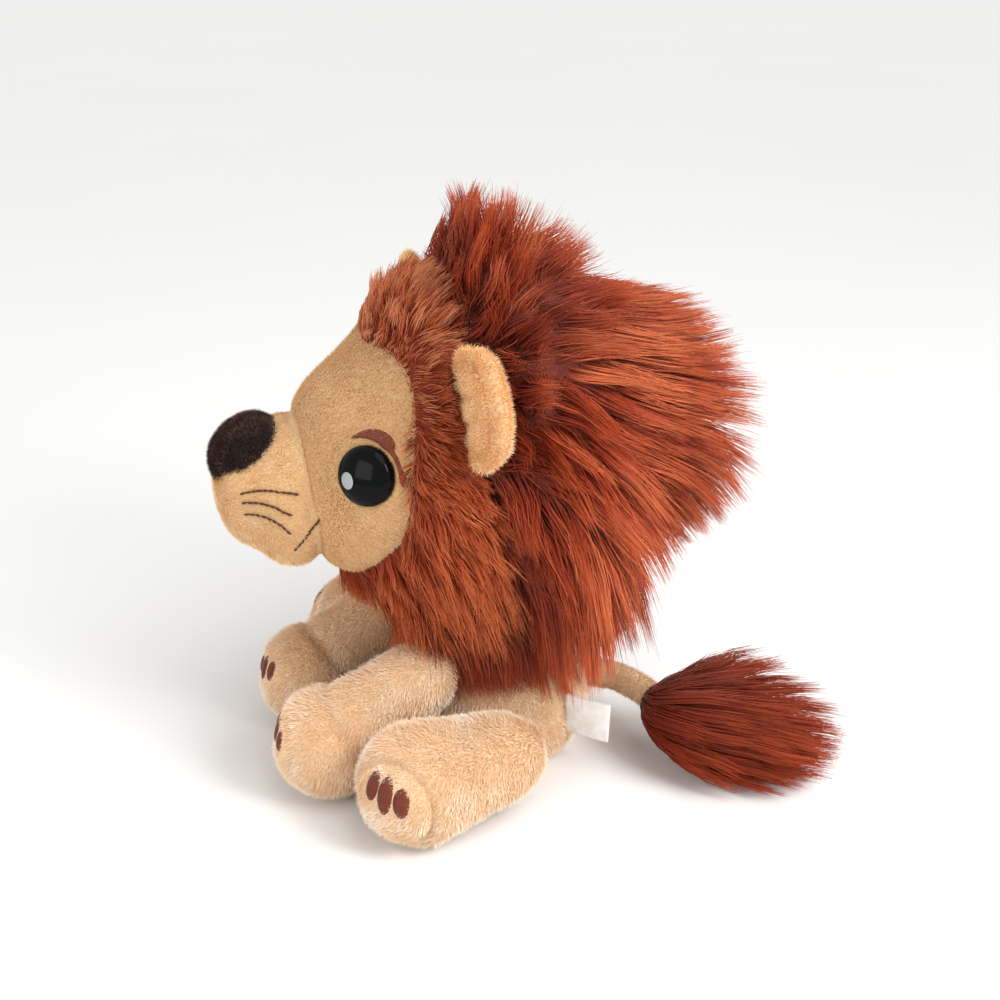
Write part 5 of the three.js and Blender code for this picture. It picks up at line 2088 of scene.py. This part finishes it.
    def undercoat(self, form: StuffedForm, lion: Lion) -> Object:
        """A dark sheet that closes the hair's inside, its colour painted shade deep in the mane."""
        behind, angle = np.broadcast_arrays(np.linspace(0.0, 1.0, 22)[:, None], round_turn(72)[None])
        inner = lion.head.form.cover(self.rooted(behind), angle)
        outer = self.ends(form, behind, angle, np.array(0.0))
        share = self.core * smooth(0.15 + behind * 6)[..., None]
        rings = lion.torso.clear(mix(inner, outer, share), 0.6)
        front = lion.head.form.cover(np.full((1, angle.shape[1]), self.back), angle[:1], -6.0)
        rings = np.concatenate((front, rings))
        poles = (front.mean((0, 1)), rings[-1].mean(0))
        return MANE_SHADE_SKIN.dress(Shape.wrapped(rings, poles).to_object("mane_base"))

    def fringe(self, lion: Lion, rng: Chance) -> Strands:
        """Hair that hangs from under the hood, in front of the body, darker partly in its own colour and partly with
        painted shade.

        Args:
            lion: The forms that it grows on and hangs clear of.
            rng: Where chance comes from.

        Returns:
            The hair.
        """
        count = self.fringe_hairs
        side = np.where(rng.random(count) < 0.5, 1, -1)
        low = np.radians(rng.uniform(-72, -28, count))
        place = rng.uniform(-0.05, 0.42, count)
        at = lion.head.form.cover(place, np.where(side > 0, low, math.pi - low), -1.0)
        at[:, 1] -= self.fringe_in * np.sign(at[:, 1])
        reach = rng.uniform(0.86, 1.03, count) * (at[:, 2] - self.fringe_low)
        end = at + np.stack((rng.normal(9, 5, count), rng.normal(0, 3, count), -reach), -1)
        bow = UP * reach[:, None] * self.fringe_bow
        paths = bezier(at, at - bow, end + bow, end, self.knots)
        chosen = rng.choice(count, self.fringe_locks.count, replace=False)
        member = nearest(at, at[chosen])
        paths = self.fringe_locks.gather(paths, paths[chosen], member, rng)
        paths = lion.clear(paths, *self.fringe_room)
        # A low tone: partly the hair's darker colour and partly painted shade under the hood
        return Strands(paths, self.fringe_locks.tones(0.2, member, rng), self.fringe_thick, self.fringe_end)

    def build(self, lion: Lion) -> None:
        """Makes the mane.

        Args:
            lion: The forms that it grows on and hangs clear of.
        """
        rng = np.random.default_rng(3)
        head = lion.head
        form = self.form(head)
        centre = self.strew(lion, self.locks.count, rng)
        root = self.strew(lion, self.hairs, rng)
        behind, angle, at = root
        member = nearest(at, centre[2])
        count = len(member)
        grow = -self.ragged * rng.random(self.locks.count) ** 2 + self.beyond
        turned = centre[1] + rng.normal(0, 0.04, self.locks.count)
        lock_paths = self.curves(head, centre, self.ends(form, centre[0], turned, grow))
        own_end = self.ends(form, behind, angle, grow[member] + rng.normal(0, 1.5, count))
        paths = self.locks.gather(self.curves(head, root, own_end), lock_paths, member, rng)
        shortened = rng.random(count) < self.short_share
        depth = np.where(shortened, rng.uniform(*self.short, count), rng.uniform(*self.whole, count))
        depth = np.where(rng.random(count) < self.flyaway, rng.uniform(*self.flown, count), depth)
        room = self.highest - self.crest_room * rng.random(count) ** 2 - paths[:, 0, 2]
        depth = np.minimum(depth, room / np.maximum(paths[..., 2].max(1) - paths[:, 0, 2], 1))
        paths = cut(paths, depth)
        hanging = self.hanging(paths[:, -1])
        t = np.linspace(0, 1, self.knots)[None, :]
        paths[..., 2] -= (hanging * self.hung_by)[:, None] * t**2.5
        paths = lion.clear(paths, self.room, self.room)
        # Painted shade and light: hairs just behind the hood take a darker tone, those farther back a paler one
        tone = self.locks.tones(0.42 + 0.25 * smooth((behind - 0.12) * 4), member, rng)
        # The dark inner sheet, painted shade inside the mane
        ride(self.undercoat(form, lion), "head", ("mane",))
        high, left = np.sin(angle), np.cos(angle) > 0
        low, rear = hanging > 0.3, behind >= 0.75
        groups = {
            "mane_low": low,
            "mane_crest": (high > 0.7) & ~rear,
            "mane_skirt": (high < -0.55) & ~rear & ~low,
            "mane_back": rear & ~low,
        }
        taken = np.any(list(groups.values()), axis=0)
        groups["mane_left"] = left & ~taken
        groups["mane_right"] = ~left & ~taken
        for name, chosen in groups.items():
            part = Strands(paths[chosen], tone[chosen], self.thick, self.end).to_object(name, MANE_PILE)
            ride(part, self.crossing if name == "mane_low" else "head", ("mane",))
        fringe = self.fringe(lion, rng).to_object("mane_fringe", MANE_PILE)
        ride(fringe, self.crossing, ("mane",))


@dataclass(frozen=True)
class Tail:
    """A stuffed tube that bends to the lion's left, with a fur tuft round its end."""

    points: tuple[Triple, ...] = (
        (51.36, 0.0, 22.0),
        (60.37, -5.2, 22.0),
        (70.13, -23.56, 22.0),
        (75.16, -43.75, 20.0),
    )
    radius: float = 5.8
    sunk: float = 6.0
    overlap: float = 12.0
    turn: float = 33.0
    wide: float = 31.0
    tall: float = 27.5
    root: float = 9.0
    spread: float = 25.0
    fan: float = 22.0
    depth: float = 24.0
    end_share: float = 0.84
    hairs: int = 4500
    thick: float = 0.3
    end: float = 0.14
    toward_end: float = 0.75
    ragged: float = 5.0
    beyond: float = 3.5
    locks: Locks = Locks(110, clump=0.52, stray=0.1, wave=1.8, lock_tone=0.15, hair_tone=0.13)
    pile: Pile = Pile(2.6, 2.0, 0.15, seed=51)

    def build(self) -> None:
        """Makes the tail and its tuft."""
        stations = [(np.array(at), self.radius, self.radius) for at in self.points]
        form = StuffedForm(stations, (self.radius + self.sunk, self.radius))
        skin = CREAM_SKIN.dress(form.skin(28, 30, 6).to_object("tail_skin"))
        coat = self.pile.plant(skin, "tail_pile", CREAM_PILE, lie(skin, -heading(0) * 0.5 + heading(90)))
        ride(skin, "tail", ("tail_shell", "tail_filling"))
        ride(coat, "tail")
        rng = np.random.default_rng(9)
        end = np.array(self.points[-1])
        way = heading(180 - self.turn)
        middle = end + way * self.spread
        middle[2] = self.tall - 0.6
        rear = middle + way * self.fan
        rear[2] = self.tall * self.end_share - 0.6
        start = end - form.line.along(np.array(1.0)) * self.overlap
        stations = [
            (start, self.root, self.root),
            (middle, self.wide, self.tall),
            (rear, self.wide * self.end_share, self.tall * self.end_share),
        ]
        tuft = StuffedForm(stations, (0.0, self.depth))

        def ends(share: Array, angle: Array, grow: Array) -> Array:
            """Where hairs end on the tuft's form."""
            found = tuft.cover(0.16 + 1.76 * share, angle, grow)
            found[..., 2] = np.maximum(found[..., 2], 1.0)
            return found

        def curves(share: Array, angle: Array, grow: Array) -> Array:
            """Hairs from the tail's end to their ends."""
            place = 1 - 0.28 * (1 - share)
            at = form.cover(place, angle, 0.0)
            out = form.normal(place, angle)
            tip = ends(share, angle, grow)
            far = np.linalg.norm(tip - at, axis=1, keepdims=True)
            along = form.line.along(np.clip(place, 0, 1))
            first = at + far * 0.36 * unit(1.1 * out + along)
            return bezier(at, first, tip - far * 0.3 * unit(way + 0.3 * (tip - middle) / self.wide), tip, 6)

        def strewn(count: int) -> tuple[Array, Array]:
            """Places of roots, with more of them towards the tail's end."""
            return rng.random(count) ** self.toward_end, rng.uniform(0, TURN, count)

        own, lock = strewn(self.hairs), strewn(self.locks.count)
        grow = -self.ragged * rng.random(self.locks.count) ** 2 + self.beyond
        member = nearest(ends(*own, 0 * own[0]), ends(*lock, 0 * lock[0]))
        paths = self.locks.gather(curves(*own, grow[member]), curves(*lock, grow), member, rng)
        paths = cut(paths, rng.uniform(0.84, 1.05, self.hairs))
        paths[..., 2] = np.maximum(paths[..., 2], 0.5)
        tone = self.locks.tones(0.5, member, rng)
        part = Strands(paths, tone, self.thick, self.end).to_object("tuft_hair", TUFT_PILE)
        ride(part, "tail", ("tail_tuft",))


@dataclass(frozen=True)
class Label:
    """A bare woven strip, folded once, sewn in the body's side seam."""

    turn: float = 128.571
    out: float = 45.72
    height: float = 26.0
    long: float = 20.0
    wide: float = 18.0
    bend: float = 3.0
    gap: float = 0.5
    thick: float = 0.22
    flare: tuple[float, float] = (0.5, 2.6)

    def build(self) -> None:
        """Makes the label."""
        away = heading(self.turn)
        side = np.cross(UP, away)
        share = np.linspace(0, 1, 24)
        x, y = self.long * share, self.bend * share**2
        slope = 2 * self.bend * share / self.long
        across = unit(np.stack((-slope, np.ones_like(slope)), -1))
        outline = np.stack((x, y), -1)
        arc = np.linspace(0, math.pi, 8)[1:-1]
        tip, over = outline[-1], across[-1]
        ahead = np.array((over[1], -over[0]))
        fold = tip + self.gap * (np.cos(arc)[:, None] * over + np.sin(arc)[:, None] * ahead)
        line = np.vstack((outline + self.gap * across, fold, (outline - self.gap * across)[::-1]))
        heights = np.linspace(-self.wide / 2, self.wide / 2, 22)
        base = away * self.out + UP * self.height
        depth, turn = self.flare
        flare = depth * np.sin(heights[:, None] / self.wide * turn) * (line[:, 0] / self.long) ** 2
        flat = line[None, :, 0, None] * away + (line[None, :, 1] + flare)[..., None] * side
        grid = base + flat + heights[:, None, None] * UP
        rows, columns = grid.shape[:2]
        number = np.arange(rows * columns).reshape(rows, columns)
        quads = np.stack((number[:-1, :-1], number[:-1, 1:], number[1:, 1:], number[1:, :-1]), -1).reshape(-1, 4)
        shape = Shape(grid.reshape(-1, 3), [tuple(int(n) for n in face) for face in quads])
        label = shape.to_object("label_strip")
        along = np.concatenate(((0,), np.cumsum(lengths(np.diff(line, axis=0)))))
        u = np.broadcast_to(along, (rows, columns)).ravel() * MM
        v = np.broadcast_to(heights[:, None], (rows, columns)).ravel() * MM
        layer = label.data.uv_layers.new(name="Weave")
        corners = np.empty(len(label.data.loops), np.int32)
        label.data.loops.foreach_get("vertex_index", corners)
        layer.uv.foreach_set("vector", np.stack((u[corners], v[corners]), -1).astype(np.float32).ravel())
        cloth = label.modifiers.new("Thickness", "SOLIDIFY")
        cloth.thickness, cloth.offset = self.thick * MM, 0.0
        settle(label)
        LABEL_CLOTH.dress(label)
        ride(label, "torso", ("label_tag",))


@dataclass(frozen=True)
class Studio:
    """A pale table, soft light and the photograph's point of view."""

    camera_at: Triple = (-135.9, -575.1, 378.1)
    target: Triple = (0.0, -30.0, 128.0)
    lens: float = 54.0
    sensor: float = 36.0
    floor_half: float = 6000.0
    floor_at: float = -0.5
    ambient: float = 0.6
    sky_way: Triple = (0.35, -0.3, 0.9)
    sky_angle: float = 50.0
    sky_power: float = 1.3
    lights: tuple[tuple[Triple, float, float], ...] = (
        ((420.0, -520.0, 560.0), 300.0, 4.6),
        ((-600.0, -420.0, 360.0), 450.0, 2.0),
    )

    def aim(self, obj: Object, at: Triple) -> None:
        """Puts a light or a camera in its place, turned to the target."""
        obj.location = Vector(at) * MM
        obj.rotation_euler = (Vector(self.target) * MM - obj.location).to_track_quat("-Z", "Y").to_euler()

    def build(self) -> None:
        """Sets the floor, the world, the lights and the camera."""
        scene = bpy.context.scene
        scene.view_settings.view_transform = "Standard"
        corners = np.array([(x, y, 0) for x, y in ((-1, -1), (1, -1), (1, 1), (-1, 1))]) * self.floor_half
        floor = Tabletop().dress(Shape(corners + UP * self.floor_at, [(0, 1, 2, 3)]).to_object("tabletop"))
        scene.world = self.world()
        for n, (at, size, power) in enumerate(self.lights, 1):
            lamp = bpy.data.lights.new(f"Softbox {n}", "AREA")
            lamp.size, lamp.energy = size * MM, power
            obj = linked(lamp.name, lamp)
            self.aim(obj, at)
        sky = bpy.data.lights.new("Sky", "SUN")
        sky.angle, sky.energy = math.radians(self.sky_angle), self.sky_power
        obj = linked(sky.name, sky)
        obj.rotation_euler = Vector(self.sky_way).to_track_quat("Z", "Y").to_euler()
        view = bpy.data.cameras.new("Camera")
        view.lens, view.sensor_width = self.lens, self.sensor
        scene.camera = linked(view.name, view)
        self.aim(scene.camera, self.camera_at)

    def world(self) -> bpy.types.World:
        """The surroundings: white to the camera and in reflections, and a dimmer grey as light."""
        world = bpy.data.worlds.new("Studio")
        world.use_nodes = True
        world.node_tree.nodes.clear()
        wire = Wiring(world.node_tree)
        path = wire.add("ShaderNodeLightPath")
        seen = path.outputs["Is Camera Ray"]
        for name in ("Is Glossy Ray", "Is Transmission Ray"):
            seen = wire.math("MAXIMUM", seen, path.outputs[name])
        grey = (self.ambient,) * 3 + (1.0,)
        inputs = {"Color": wire.blend(seen, grey, (1.0, 1.0, 1.0, 1.0)), "Strength": 1.0}
        wire.add("ShaderNodeOutputWorld", {"Surface": wire.out("ShaderNodeBackground", inputs)})
        return world


def main() -> None:
    """Builds the lion, its studio and the view."""
    logging.basicConfig(level=logging.INFO, format="%(message)s")
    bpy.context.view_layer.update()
    torso, head, eyes, ears = Torso(), Head(), Eyes(), Ears()
    front = Leg(
        Limb.FRONT,
        joint=(-41.92, -33.43, 47.0),
        foot_at=(-74.51, -28.85, 23.4),
        ball=15.0,
        shin=18.0,
        foot=24.0,
        pad_turn=-6.0,
        pad_share=0.75,
        sole_angle=0.0,
        crease_at=13.0,
    )
    hind = Leg(
        Limb.HIND,
        joint=(-14.11, -61.80, 24.0),
        foot_at=(-44.71, -71.16, 24.4),
        ball=18.0,
        shin=22.0,
        foot=25.0,
        pad_turn=45.0,
        pad_share=1.0,
        sole_angle=50.0,
        crease_at=0.0,
    )
    torso.build([front, hind])
    for leg in (front, hind):
        leg.build()
    face, muzzle = head.build(eyes)
    eyes.build(face)
    FaceStitching().build(head.muzzle, muzzle)
    ears.build()
    lion = Lion(head, ears, torso, [front, hind])
    Hood().build(lion)
    Mane().build(lion)
    Tail().build()
    Label().build()
    SEWING.dress(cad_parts["neck_thread"])
    Studio().build()


if __name__ == "__main__":
    main()
